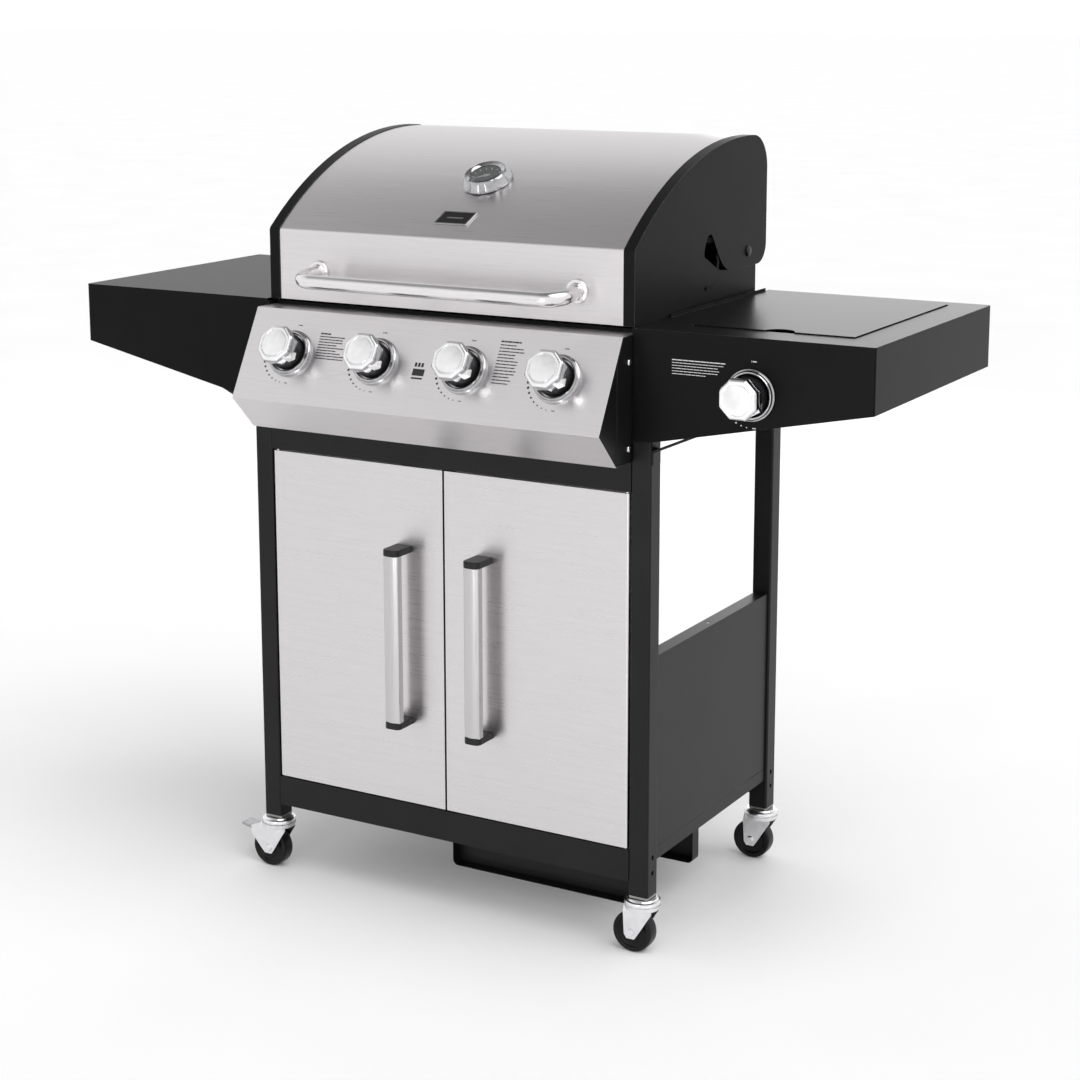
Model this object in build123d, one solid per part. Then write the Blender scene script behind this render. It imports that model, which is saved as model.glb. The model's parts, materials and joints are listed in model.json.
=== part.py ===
"""Gas barbecue grill on a four-wheeled cabinet cart: four burners, a side burner, a hinged hood."""
from math import atan2, cos, hypot, radians, sin, sqrt
import os

from build123d import *

# Frame: +X to the grill's own left-to-right as seen from the front, +Y to the rear, +Z up.
# Everything below is in millimetres with Y = 0 at the middle of the cart. Each part is moved by
# origin_shift when it is written, so that the origin is under the middle of the whole grill.
origin_shift = 49.33

# cart
cart_half_width = 330.0
cart_half_depth = 216.0
leg_size = 30.0
leg_wall = 1.5
leg_corner = 3.0
leg_bottom = 86.0
leg_top = 884.0
leg_inner = cart_half_width - leg_size
leg_centre_x = cart_half_width - leg_size / 2
leg_centre_y = cart_half_depth - leg_size / 2
leg_bolt_heights = (119.0, 142.0)
leg_bolt_radius = 3.2
rail_depth = 26.0
rail_wall = 1.5
low_rail_bottom = 106.0
low_rail_top = 152.0
top_rail_bottom = 663.0
top_rail_top = 704.5
rear_rail_bottom = 744.0
rear_rail_top = 784.0
floor_top = 151.0
sheet = 1.2
side_panel_top = 429.5
side_panel_face = 326.0
side_flange = 22.0
brace_thick = 4.0

# bottle cradle: two folded hangers below the floor opening
cradle_left = -18.0
cradle_right = 290.0
cradle_bottom = 50.0
cradle_front_y = -150.0
cradle_rear_y = 30.0
cradle_flange = 20.0
cradle_corner = 9.0

# doors
door_gap = 2.5
door_split = 3.0
door_bottom = 154.0
door_top = 661.0
door_depth = 18.0
door_sheet = 1.2
door_pin_x = 292.5
door_pin_y = -210.0
door_pin_radius = 3.0
running_gap = 0.05
handle_x = 67.5
handle_width = 25.0
handle_front = -255.5
handle_thick = 13.0
handle_low = 287.0
handle_high = 535.0
handle_cap = 10.0

# control panel section, as (Y, Z) of its outer corners
panel_half = 300.0
panel_sheet = 1.0
panel_back_top = (-200.0, 879.0)
panel_top = (-242.0, 879.0)
panel_ridge = (-309.0, 755.0)
panel_low = (-260.0, 705.0)
panel_back_low = (-195.0, 705.0)
knob_spacing = 146.0
knob_xs = tuple(knob_spacing * (i - 1.5) for i in range(4))
knob_along = 67.2
pointer_turn = 60.0
plate_lap = 4.0

# gas train
manifold_y = -232.0
manifold_z = 770.0
inlet_x = -252.0
inlet_y = -172.0
inlet_z = 713.5
inlet_pipe = 7.0
nipple_top = 690.0
nipple_radius = 6.6
nipple_length = 25.0

# hood
lid_half = 300.0
lid_front = -209.0
lid_bottom = 888.0
lid_rear = 214.0
lid_arc_y = 146.0
lid_arc_z = 576.3
lid_arc_radius = 545.5
lid_rear_top_radius = 50.0
lid_fold_radius = 7.0
lid_skin_end = 1010.0
cap_rim = 17.0
cap_plate = 2.5
cap_wall = 2.0
skin_inset = 1.2
skin_sheet = 1.0
hinge_y = 150.6
hinge_z = 953.2
lobe_radius = 22.0
hinge_bolt_radius = 4.0
gauge_x = 6.0
gauge_y = -100.0

# firebox
box_half = 296.0
box_front = -200.0
box_rear = 185.0
box_bottom = 745.0
box_top = 884.0
box_rear_top = 1000.0
box_wall = 1.5
burner_z = 797.0
burner_radius = 11.0
grate_z = 862.0

# side shelves
shelf_inner = 301.5
shelf_outer = 645.0
shelf_top = 888.0
shelf_front = -217.5
shelf_rear = 222.0
skirt_inner_z = 735.0
skirt_outer_z = 800.0
lip_height = 4.0
lip_front = -105.0

# side burner
cover_left = 362.0
cover_right = 592.0
cover_front = -156.5
cover_rear = 190.0
cover_gap = 2.0
cover_rise = 1.5
cover_depth = 9.0
cover_hinge_y = 186.8
cover_hinge_z = 883.0
side_burner_x = (cover_left + cover_right) / 2
side_burner_y = (cover_front + cover_rear) / 2
side_knob_x = 475.5
side_knob_z = 813.0
notch_x = 487.0
notch_radius = 21.0

# casters
wheel_radius = 30.0
wheel_width = 22.0
trail = 12.0
axle_radius = 4.0
swivel_radius = 5.0
brake_pivot_x = -24.0
brake_pivot_z = 25.0

# grease tray
tray_half = 282.0
tray_top = 740.0
tray_bottom = 722.0
tray_front = -185.0
tray_rear = 200.0
runner_z = 736.5


def block(x0, x1, y0, y1, z0, z1):
    centre = Pos((x0 + x1) / 2, (y0 + y1) / 2, (z0 + z1) / 2)
    return centre * Box(x1 - x0, y1 - y0, z1 - z0)


def rod(point, direction, radius, length):
    plane = Plane(origin=point, z_dir=direction)
    return plane * Cylinder(radius, length, align=(Align.CENTER, Align.CENTER, Align.MIN))


def prism_x(points, x0, x1):
    # points are (Y, Z)
    return extrude(Plane.YZ.offset(x0) * Polygon(*points, align=None), x1 - x0, dir=(1, 0, 0))


def prism_y(points, y0, y1):
    # points are (X, Z)
    return extrude(Plane.XZ.offset(-y1) * Polygon(*points, align=None), y1 - y0, dir=(0, -1, 0))


def group(*shapes):
    return Compound([solid for shape in shapes for solid in shape.solids()])


def both_sides(shape):
    return group(shape, mirror(shape, Plane.YZ))


def offset_path(points, distance):
    # moves an open path to its left by distance, with mitred corners
    moved = []
    for i, (a, b) in enumerate(points):
        before = points[max(i - 1, 0)]
        after = points[min(i + 1, len(points) - 1)]
        if i == 0:
            before = (2 * a - after[0], 2 * b - after[1])
        if i == len(points) - 1:
            after = (2 * a - before[0], 2 * b - before[1])
        d1 = hypot(a - before[0], b - before[1])
        d2 = hypot(after[0] - a, after[1] - b)
        n1 = (-(b - before[1]) / d1, (a - before[0]) / d1)
        n2 = (-(after[1] - b) / d2, (after[0] - a) / d2)
        scale = distance / (1 + n1[0] * n2[0] + n1[1] * n2[1])
        moved.append((a + (n1[0] + n2[0]) * scale, b + (n1[1] + n2[1]) * scale))
    return moved


def folded_x(points, thickness, x0, x1):
    # a sheet folded along the (Y, Z) path, its thickness to the left of the path
    return prism_x(list(points) + offset_path(points, thickness)[::-1], x0, x1)


def knob_frame():
    # the point and outward normal of the sloped panel face at knob height
    dy = panel_ridge[0] - panel_top[0]
    dz = panel_ridge[1] - panel_top[1]
    length = hypot(dy, dz)
    point = (panel_top[0] + dy / length * knob_along, panel_top[1] + dz / length * knob_along)
    normal = (dz / length, -dy / length)
    return point, normal


def knob_planes():
    point, normal = knob_frame()
    planes = []
    for x in knob_xs:
        planes.append(Plane(origin=(x, point[0], point[1]), x_dir=(1, 0, 0),
                            z_dir=(0, normal[0], normal[1])))
    planes.append(Plane(origin=(side_knob_x, shelf_front, side_knob_z), x_dir=(1, 0, 0),
                        z_dir=(0, -1, 0)))
    return planes


# ---------------------------------------------------------------- cart

def leg(side_x, side_y):
    x = side_x * leg_centre_x
    y = side_y * leg_centre_y
    outer = Pos(x, y, leg_bottom) * extrude(RectangleRounded(leg_size, leg_size, leg_corner),
                                            leg_top - leg_bottom)
    inner_size = leg_size - 2 * leg_wall
    inner = Pos(x, y, leg_bottom) * extrude(
        RectangleRounded(inner_size, inner_size, leg_corner - leg_wall), leg_top - leg_bottom)
    tube = outer - inner
    for z in leg_bolt_heights:
        tube -= rod((x, y, z), (side_x, 0, 0), leg_bolt_radius, leg_size)
    return tube


def rail_tube(x0, x1, y0, y1, z0, z1):
    tube = block(x0, x1, y0, y1, z0, z1)
    return tube - block(x0, x1, y0 + rail_wall, y1 - rail_wall, z0 + rail_wall, z1 - rail_wall)


def pin_holes(z0, z1):
    hole = rod((door_pin_x, door_pin_y, z0), (0, 0, 1), door_pin_radius + running_gap, z1 - z0)
    return both_sides(hole)


def front_rails():
    y0 = -cart_half_depth
    y1 = y0 + rail_depth
    low = rail_tube(-leg_inner, leg_inner, y0, y1, low_rail_bottom, low_rail_top)
    low -= pin_holes(low_rail_top - 2 * rail_wall, low_rail_top + 1)
    top = rail_tube(-leg_inner, leg_inner, y0, y1, top_rail_bottom, top_rail_top)
    top -= pin_holes(top_rail_bottom - 1, top_rail_bottom + 2 * rail_wall)
    return group(low, top)


def shelf_braces():
    # a short angled strip from each front leg up to the shelf skirt
    low = (cart_half_width + 0.2, 719.0)
    high = (cart_half_width + 70.0, 750.0)
    y0 = -cart_half_depth + 2
    strip = [low, high, (high[0], high[1] + brace_thick), (low[0], low[1] + brace_thick)]
    strap = prism_y(strip, y0, y0 + 22)
    strap += block(low[0], low[0] + 2.2, y0, y0 + 22, low[1] - 16, low[1] + brace_thick)
    return both_sides(strap)


def rails_and_braces():
    y1 = cart_half_depth
    y0 = y1 - rail_depth
    rails = [rail_tube(-leg_inner, leg_inner, y0, y1, low_rail_bottom, low_rail_top),
             rail_tube(-leg_inner, leg_inner, y0, y1, rear_rail_bottom, rear_rail_top)]
    reach = cart_half_depth - leg_size
    for side in (-1, 1):
        x0, x1 = sorted((side * (leg_inner + 4), side * (cart_half_width - 4)))
        tube = block(x0, x1, -reach, reach, rear_rail_bottom + 5, rear_rail_top)
        tube -= block(x0 + rail_wall, x1 - rail_wall, -reach, reach,
                      rear_rail_bottom + 5 + rail_wall, rear_rail_top - rail_wall)
        rails.append(tube)
    return group(shelf_braces(), *rails)


def bottom_shelf():
    reach = cart_half_depth - leg_size
    plate = block(-side_panel_face, side_panel_face, -reach + 0.5, reach - 0.5,
                  floor_top - sheet, floor_top)
    plate += block(-leg_inner, leg_inner, -reach - 3.5, reach + 3.5, floor_top - sheet, floor_top)
    for side in (-1, 1):
        x0, x1 = sorted((side * side_panel_face, side * (side_panel_face - sheet)))
        plate += block(x0, x1, -reach + 0.5, reach - 0.5, floor_top - 19, floor_top)
    opening_y = (cradle_front_y - cradle_flange - 6, cradle_rear_y + 6)
    opening = Pos((cradle_left + cradle_right) / 2, sum(opening_y) / 2, floor_top - 5) * extrude(
        RectangleRounded(cradle_right - cradle_left - 6, opening_y[1] - opening_y[0], 30), 10)
    return plate - opening


def side_panel(side):
    reach = cart_half_depth - leg_size - 0.5
    low = floor_top + 0.5
    face = block(side_panel_face - sheet, side_panel_face, -reach, reach, low, side_panel_top)
    flange = block(side_panel_face - side_flange, side_panel_face, -reach, reach,
                   side_panel_top - sheet, side_panel_top)
    flange -= rod((side_panel_face - side_flange / 2, 0, side_panel_top - 5), (0, 0, 1), 3.0, 10)
    ends = [block(side_panel_face - 14, side_panel_face, y, y + sheet, low, side_panel_top)
            for y in (-reach, reach - sheet)]
    panel = face + flange + ends[0] + ends[1]
    return panel if side > 0 else mirror(panel, Plane.YZ)


def cradle_hanger(web_y):
    # a web with a flange folded forward along both ends and the bottom, hung from two ears
    top = floor_top - sheet - 0.3
    width = cradle_right - cradle_left
    height = top - cradle_bottom
    middle = ((cradle_left + cradle_right) / 2, (top + cradle_bottom) / 2)
    depth = cradle_flange
    outer = Plane.XZ.offset(-web_y) * Pos(*middle) * Rectangle(width, height)
    solid = extrude(outer, depth, dir=(0, -1, 0))
    corners = [e for e in solid.edges().filter_by(Axis.Y) if e.center().Z < cradle_bottom + 1]
    solid = fillet(corners, cradle_corner)
    pocket = Plane.XZ.offset(-web_y + sheet) * Pos(middle[0], middle[1] + sheet) * Rectangle(
        width - 2 * sheet, height)
    pocket = extrude(pocket, depth, dir=(0, -1, 0))
    corners = [e for e in pocket.edges().filter_by(Axis.Y)
               if e.center().Z < cradle_bottom + 2 * sheet]
    hanger = solid - fillet(corners, cradle_corner - sheet)
    for x0, x1 in ((cradle_left - 16, cradle_left + sheet), (cradle_right - sheet, cradle_right + 7)):
        hanger += block(x0, x1, web_y - depth, web_y, top - sheet, top)
    return hanger


def bottle_cradle():
    return group(cradle_hanger(cradle_front_y), cradle_hanger(cradle_rear_y))


# ---------------------------------------------------------------- doors

def door(side):
    x0 = door_split / 2
    x1 = leg_inner - door_gap
    y0 = -cart_half_depth
    y1 = y0 + door_depth
    pan = block(x0, x1, y0, y1, door_bottom, door_top)
    hinge_edges = [e for e in pan.edges().filter_by(Axis.Z)
                   if e.center().X > x1 - 1 and e.center().Y < y0 + 1]
    pan = fillet(hinge_edges, 3.0)
    t = door_sheet
    pan -= block(x0 + t, x1 - t, y0 + t, y1 + 1, door_bottom + t, door_top - t)
    pan -= rod((door_pin_x, door_pin_y, door_bottom - 1), (0, 0, 1),
               door_pin_radius + running_gap, door_top - door_bottom + 2)
    return pan if side > 0 else mirror(pan, Plane.YZ)


def door_pins():
    low = rod((door_pin_x, door_pin_y, low_rail_top - 6), (0, 0, 1), door_pin_radius, 14)
    high = rod((door_pin_x, door_pin_y, top_rail_bottom + 6), (0, 0, -1), door_pin_radius, 14)
    return group(low, high, mirror(low, Plane.YZ), mirror(high, Plane.YZ))


def door_handle(side):
    y0 = handle_front
    y1 = handle_front + handle_thick
    half = handle_width / 2
    bar = block(handle_x - half, handle_x + half, y0, y1, handle_low, handle_high)
    front_edges = [e for e in bar.edges().filter_by(Axis.Z) if e.center().Y < y0 + 1]
    bar = fillet(front_edges, 5.0)
    caps = []
    for z in (handle_low - handle_cap, handle_high):
        cap = block(handle_x - half - 0.8, handle_x + half + 0.8, y0 - 0.8,
                    -cart_half_depth, z, z + handle_cap)
        edges = [e for e in cap.edges().filter_by(Axis.Z) if e.center().Y < y0 + 1]
        caps.append(fillet(edges, 5.8))
    handle = group(bar, *caps)
    return handle if side > 0 else mirror(handle, Plane.YZ)


# ---------------------------------------------------------------- control panel and gas train

def control_panel():
    path = [panel_back_top, panel_top, panel_ridge, panel_low, panel_back_low]
    shell = folded_x(path, panel_sheet, -panel_half, panel_half)
    for plane in knob_planes()[:4]:
        shell -= plane * Cylinder(9.0, 12)
    return shell


def panel_end_plates():
    inner = offset_path([panel_back_top, panel_top, panel_ridge, panel_low, panel_back_low],
                        panel_sheet)
    # the plate closes the panel's end and laps a little past the front of the leg beside it
    rear = -cart_half_depth + plate_lap
    outline = [(rear, inner[1][1]), inner[1], inner[2], inner[3], (rear, inner[3][1])]
    plate = prism_x(outline, panel_half - 1.5, panel_half)
    # the strip beside it carries the two screws; its top corner follows the panel's slope
    strip_front = panel_low[0] + 1
    strip_rear = -cart_half_depth - 2.2
    slope = (inner[2][1] - inner[1][1]) / (inner[2][0] - inner[1][0])
    strip_top = inner[1][1] + slope * (strip_front - inner[1][0])
    strip = [(strip_rear, inner[3][1]), (strip_front, inner[3][1]), (strip_front, strip_top), inner[1],
             (strip_rear, inner[1][1])]
    plate += prism_x(strip, panel_half, panel_half + 1.2)
    return both_sides(plate)


def knob_bezels():
    profile = [(28.0, 1.0), (29.5, 0.0), (35.0, 0.0), (35.0, 4.0), (33.2, 8.0), (31.0, 10.0),
               (29.0, 10.0), (28.0, 8.5)]
    ring = revolve(Plane.XZ * Polygon(*profile, align=None), Axis.Z)
    return group(*[plane * ring for plane in knob_planes()])


def valve_stem(plane):
    return plane * Pos(0, 0, -36) * Cylinder(4.0, 58, align=(Align.CENTER, Align.CENTER, Align.MIN))


def knob(plane):
    skirt = [(0.0, 5.0), (26.0, 5.0), (26.0, 9.0), (24.5, 28.0), (0.0, 28.0)]
    body = revolve(Plane.XZ * Polygon(*skirt, align=None), Axis.Z)
    cap = Pos(0, 0, 26) * extrude(RegularPolygon(29.4, 8, major_radius=True, rotation=22.5), 20)
    cap = chamfer(cap.edges().group_by(Axis.Z)[-1], 3.5)
    pointer = extrude(Pos(0, 0, 16) * Polygon((-9, -24), (9, -24), (0, -31.5), align=None), 14,
                      dir=(0, 0, 1))
    pointer = Rot(0, 0, pointer_turn) * pointer
    bore = Cylinder(4.0 + running_gap, 22.4, align=(Align.CENTER, Align.CENTER, Align.MIN))
    return plane * (body + cap + pointer - bore)


def gas_manifold():
    # a straight pipe with an inlet that runs over the front rail and turns down behind it
    tube = rod((-278, manifold_y, manifold_z), (1, 0, 0), 9.0, 560)
    tube += rod((inlet_x, manifold_y, manifold_z), (0, 0, -1), inlet_pipe, manifold_z - inlet_z + inlet_pipe)
    tube += rod((inlet_x, manifold_y - inlet_pipe, inlet_z), (0, 1, 0), inlet_pipe,
                inlet_y - manifold_y + 2 * inlet_pipe)
    tube += rod((inlet_x, inlet_y, inlet_z), (0, 0, -1), inlet_pipe, inlet_z - nipple_top)
    return tube + rod((inlet_x, inlet_y, nipple_top), (0, 0, -1), nipple_radius, nipple_length)


def gas_valves():
    valves = []
    for plane in knob_planes()[:4]:
        x = plane.origin.X
        body = plane * Pos(0, 0, -52) * Box(22, 22, 34, align=(Align.CENTER, Align.CENTER, Align.MIN))
        saddle = block(x - 9, x + 9, manifold_y - 8, manifold_y + 6, manifold_z + 9, 800)
        jet = rod((x, manifold_y, burner_z), (0, 1, 0), 4.0, 27)
        bore = plane * Pos(0, 0, -42) * Cylinder(4.0 + running_gap, 40,
                                                 align=(Align.CENTER, Align.CENTER, Align.MIN))
        valves.append(body + saddle + jet - bore)
    side_plane = knob_planes()[4]
    body = side_plane * Pos(0, 0, -52) * Box(22, 22, 34, align=(Align.CENTER, Align.CENTER, Align.MIN))
    body += rod((side_knob_x, shelf_front + 50, side_knob_z), (0, 1, 0), 4.0, 22)
    body -= side_plane * Pos(0, 0, -42) * Cylinder(4.0 + running_gap, 40,
                                                   align=(Align.CENTER, Align.CENTER, Align.MIN))
    valves.append(body)
    return group(*valves)


# ---------------------------------------------------------------- firebox

def ear_outline():
    front = [(-70.0, box_top), (-52.0, 905.0), (-22.0, 948.0), (2.0, 962.0), (26.0, 952.0),
             (60.0, 935.0), (95.0, 932.0), (125.0, 952.0), (135.0, 968.0)]
    rear = [(166.0, 968.0), (box_rear + 2, 945.0), (box_rear + 2, box_bottom)]
    return front + rear + [(box_front, box_bottom), (box_front, box_top)]


def firebox():
    t = box_wall
    walls = block(-box_half, box_half, box_front, box_front + t, box_bottom, box_top)
    walls += block(-box_half, box_half, box_rear - t, box_rear, box_bottom, box_rear_top)
    for x0 in (-box_half, box_half - t):
        walls += prism_x(ear_outline(), x0, x0 + t)
    for y0 in (box_front, box_rear - 14):
        walls += block(-box_half, box_half, y0, y0 + 14, grate_z - 2, grate_z - 0.5)
    for x0, x1 in ((-box_half, 2 - tray_half), (tray_half - 2, box_half)):
        walls += block(x0, x1, box_front, box_rear, box_bottom, box_bottom + t)
    web = block(tray_half + 1, tray_half + 2.5, box_front, box_rear, runner_z, box_bottom + t)
    foot = block(tray_half - 5, tray_half + 2.5, box_front, box_rear, runner_z, runner_z + t)
    runner = web + foot
    walls += [runner, mirror(runner, Plane.YZ)]
    for x in knob_xs:
        walls -= rod((x, box_front - 5, burner_z), (0, 1, 0), burner_radius + 0.5, 12)
    bolt_hole = rod((-box_half - 5, hinge_y, hinge_z), (1, 0, 0), hinge_bolt_radius + running_gap,
                    2 * box_half + 10)
    walls -= bolt_hole
    for y, z in ((-30.1, 911.2), (16.7, 912.8)):
        walls -= rod((-box_half - 5, y, z), (1, 0, 0), 3.0, 2 * box_half + 10)
    return walls


def burners():
    tubes = []
    for x in knob_xs:
        start = (x, box_front - 10, burner_z)
        tube = rod(start, (0, 1, 0), burner_radius, 372)
        tube -= rod((x, box_front - 11, burner_z), (0, 1, 0), burner_radius - 1.0, 371)
        tube -= block(x - 5, x + 5, box_front - 6, box_front - 1, burner_z + 4, burner_z + 14)
        for i in range(22):
            tube -= rod((x - 14, -150 + i * 14.0, burner_z), (1, 0, 0), 1.4, 28)
        tubes.append(tube)
    return group(*tubes)


def flame_tamers():
    tents = []
    rise = 22.0
    half = 52.0
    for x in knob_xs:
        path = [(x - half, 824.0), (x, 824.0 + rise), (x + half, 824.0)]
        inner = [(a, b - 1.4) for a, b in path][::-1]
        tents.append(prism_y(path + inner, box_front + 20, box_rear - 20))
    return group(*tents)


def cooking_grate(x0, x1):
    y0 = box_front + 5
    y1 = box_rear - 5
    z0 = grate_z
    z1 = grate_z + 12
    frame = block(x0, x1, y0, y1, z0, z1) - block(x0 + 8, x1 - 8, y0 + 8, y1 - 8, z0 - 1, z1 + 1)
    count = 13
    pitch = (x1 - x0 - 8) / (count + 1)
    for i in range(count):
        x = x0 + 4 + pitch * (i + 1)
        frame += block(x - 3.5, x + 3.5, y0 + 4, y1 - 4, z0 + 2, z1)
    middle = (y0 + y1) / 2
    return frame + block(x0 + 4, x1 - 4, middle - 4, middle + 4, z0, z1 - 3)


def cooking_grates():
    return group(cooking_grate(-292.0, -1.0), cooking_grate(1.0, 292.0))


def warming_rack():
    z = 972.0
    half = 276.0
    rows = [-20.0 + 20.0 * i for i in range(8)]
    rack = rod((-half, rows[0], z), (1, 0, 0), 2.5, 2 * half)
    for y in rows[1:]:
        rack += rod((-half, y, z), (1, 0, 0), 2.5, 2 * half)
    for x in (-half, half):
        rack += rod((x, rows[0] - 2, z), (0, 1, 0), 3.0, rows[-1] - rows[0] + 4)
        for y in (rows[1], rows[-2]):
            rack += rod((x, y, z), (0, 0, -1), 3.0, z - grate_z - 12.3)
    return rack


def grease_tray():
    t = 1.2
    tray = block(-tray_half + 6, tray_half - 6, tray_front, tray_rear, tray_bottom, tray_top)
    tray -= block(-tray_half + 6 + t, tray_half - 6 - t, tray_front + t, tray_rear - t,
                  tray_bottom + t, tray_top + 1)
    tray -= rod((0, 0, tray_bottom - 1), (0, 0, 1), 11.0, 5)
    for x0, x1 in ((-tray_half, -tray_half + 6), (tray_half - 6, tray_half)):
        tray += block(x0, x1, tray_front, tray_rear, tray_top - t, tray_top)
    for x0 in (-46.0, 44.8):
        tray += block(x0, x0 + t, -50, 50, tray_bottom - 12, tray_bottom)
        inner = (x0, x0 + 6) if x0 < 0 else (x0 + t - 6, x0 + t)
        tray += block(inner[0], inner[1], -50, 50, tray_bottom - 12, tray_bottom - 12 + t)
    pull = block(-60, 60, tray_rear, tray_rear + 12, tray_top - t, tray_top)
    return tray + pull


def grease_cup():
    rim_z = tray_bottom - 10.4
    cup = block(-38, 38, -46, 46, 664, rim_z)
    cup = fillet(cup.edges().filter_by(Axis.Z), 10)
    hollow = fillet(block(-36.8, 36.8, -44.8, 44.8, 665.2, rim_z + 1).edges().filter_by(Axis.Z), 8.8)
    rim = block(-43, 43, -46, 46, rim_z, rim_z + 1.2)
    rim = fillet(rim.edges().filter_by(Axis.Z), 6) - Pos(0, 0, 5) * hollow
    return cup - hollow + rim


# ---------------------------------------------------------------- hood

def lid_outline(inset):
    # the hood's outer section from the front foot over the top to the rear foot, as one wire path
    radius = lid_arc_radius - inset
    front = lid_front + inset
    rear = lid_rear - inset
    start_z = lid_arc_z + sqrt(radius ** 2 - (front - lid_arc_y) ** 2)
    corner = lid_rear_top_radius - inset
    corner_y = rear - corner
    reach = radius - corner
    corner_z = lid_arc_z + sqrt(reach ** 2 - (corner_y - lid_arc_y) ** 2)
    tangent = atan2(corner_z - lid_arc_z, corner_y - lid_arc_y)
    join = (lid_arc_y + radius * cos(tangent), lid_arc_z + radius * sin(tangent))
    half_angle = (atan2(start_z - lid_arc_z, front - lid_arc_y) + tangent) / 2
    crown = (lid_arc_y + radius * cos(half_angle), lid_arc_z + radius * sin(half_angle))
    turn = tangent / 2
    corner_mid = (corner_y + corner * cos(turn), corner_z + corner * sin(turn))
    return front, start_z, crown, join, corner_mid, (rear, corner_z)


def lid_path(inset, front_foot, rear_foot):
    front, start_z, crown, join, corner_mid, corner_end = lid_outline(inset)
    return [Line((front, front_foot), (front, start_z)),
            ThreePointArc((front, start_z), crown, join),
            ThreePointArc(join, corner_mid, corner_end),
            Line(corner_end, (corner_end[0], rear_foot))]


def lid_band(inset, thickness, front_foot, rear_foot, x0, x1):
    outer = lid_path(inset, front_foot, rear_foot)
    inner = lid_path(inset + thickness, front_foot, rear_foot)
    ends = [Line(outer[0] @ 0, inner[0] @ 0), Line(outer[-1] @ 1, inner[-1] @ 1)]
    section = make_face(Wire(outer + inner + ends).edges())
    folds = [outer[0] @ 1, inner[0] @ 1]
    for fold, radius in zip(folds, (lid_fold_radius, lid_fold_radius - thickness)):
        corner = section.vertices().sort_by_distance(fold)[0]
        section = fillet(corner, radius)
    return extrude(Plane.YZ.offset(x0) * section, x1 - x0, dir=(1, 0, 0))


def lid_skin():
    # the crease along the front is rounded, and the skin passes under the rims of both side caps
    half = lid_half - cap_rim + 1
    skin = lid_band(skin_inset, skin_sheet, lid_bottom, lid_skin_end, -half, half)
    point, normal = lid_surface_frame(gauge_y)
    start = (gauge_x, point[0] - 20 * normal[0], point[1] - 20 * normal[1])
    return skin - rod(start, (0, normal[0], normal[1]), 9.0, 40)


def lid_surface_frame(y):
    z = lid_arc_z + sqrt(lid_arc_radius ** 2 - (y - lid_arc_y) ** 2)
    normal = ((y - lid_arc_y) / lid_arc_radius, (z - lid_arc_z) / lid_arc_radius)
    return (y, z), normal


def cap_plate_outline():
    front, start_z, crown, join, corner_mid, corner_end = lid_outline(0.0)
    foot = 30.0
    lobe_bottom = hinge_z - lobe_radius
    bevel = foot * (1 - cos(radians(45)))
    path = [Line((front, lid_bottom), (front, start_z)),
            ThreePointArc((front, start_z), crown, join),
            ThreePointArc(join, corner_mid, corner_end),
            Line(corner_end, (lid_rear, lobe_bottom + foot)),
            ThreePointArc((lid_rear, lobe_bottom + foot), (lid_rear - bevel, lobe_bottom + bevel),
                          (lid_rear - foot, lobe_bottom)),
            Line((lid_rear - foot, lobe_bottom), (100.0, lobe_bottom)),
            Spline((100.0, lobe_bottom), (72.0, 938.0), (48.0, 962.0), (26.0, 990.0),
                   tangents=((-1, 0), (-1, 1))),
            Spline((26.0, 990.0), (11.0, 983.0), (4.0, 968.0), (8.0, 935.0),
                   tangents=((-1, 0), (0.1, -1))),
            Line((8.0, 935.0), (-58.0, lid_bottom)),
            Line((-58.0, lid_bottom), (front, lid_bottom))]
    outline = make_face(Wire(path).edges())
    return fillet(outline.vertices().sort_by_distance(path[0] @ 1)[0], lid_fold_radius)


def lid_cap(side):
    plate = extrude(Plane.YZ.offset(lid_half - cap_plate) * cap_plate_outline(), cap_plate,
                    dir=(1, 0, 0))
    rim = lid_band(0.0, cap_wall, lid_bottom, lid_skin_end, lid_half - cap_rim, lid_half)
    skin_slot = lid_band(skin_inset - 0.05, skin_sheet + 0.1, lid_bottom - 1, lid_skin_end - 1,
                         lid_half - cap_rim - 1, lid_half - cap_rim + 1.1)
    cap = plate + rim - skin_slot
    cap -= rod((lid_half - 10, hinge_y, hinge_z), (1, 0, 0), hinge_bolt_radius + running_gap, 20)
    return cap if side > 0 else mirror(cap, Plane.YZ)


def lid_handle():
    # a bent round tube whose ends stand on two round rosettes
    foot_x = 213.0
    foot_y = lid_front + skin_inset
    foot_z = 930.5
    bar_y = -266.0
    bar_z = 924.5
    flare = 8.0
    bend = 30.0
    path = FilletPolyline((-foot_x, foot_y - 4, foot_z), (-foot_x - flare, bar_y, bar_z),
                          (foot_x + flare, bar_y, bar_z), (foot_x, foot_y - 4, foot_z), radius=bend)
    start = Plane(origin=path @ 0, z_dir=path % 0)
    tube = sweep(start * Circle(10.5), path=path)
    rosettes = [rod((side * foot_x, foot_y, foot_z), (0, -1, 0), 17.0, 5.0) for side in (-1, 1)]
    return tube + rosettes[0] + rosettes[1]


def thermometer_plane():
    point, normal = lid_surface_frame(gauge_y)
    return Plane(origin=(gauge_x, point[0], point[1]), x_dir=(1, 0, 0), z_dir=(0, normal[0], normal[1]))


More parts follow.
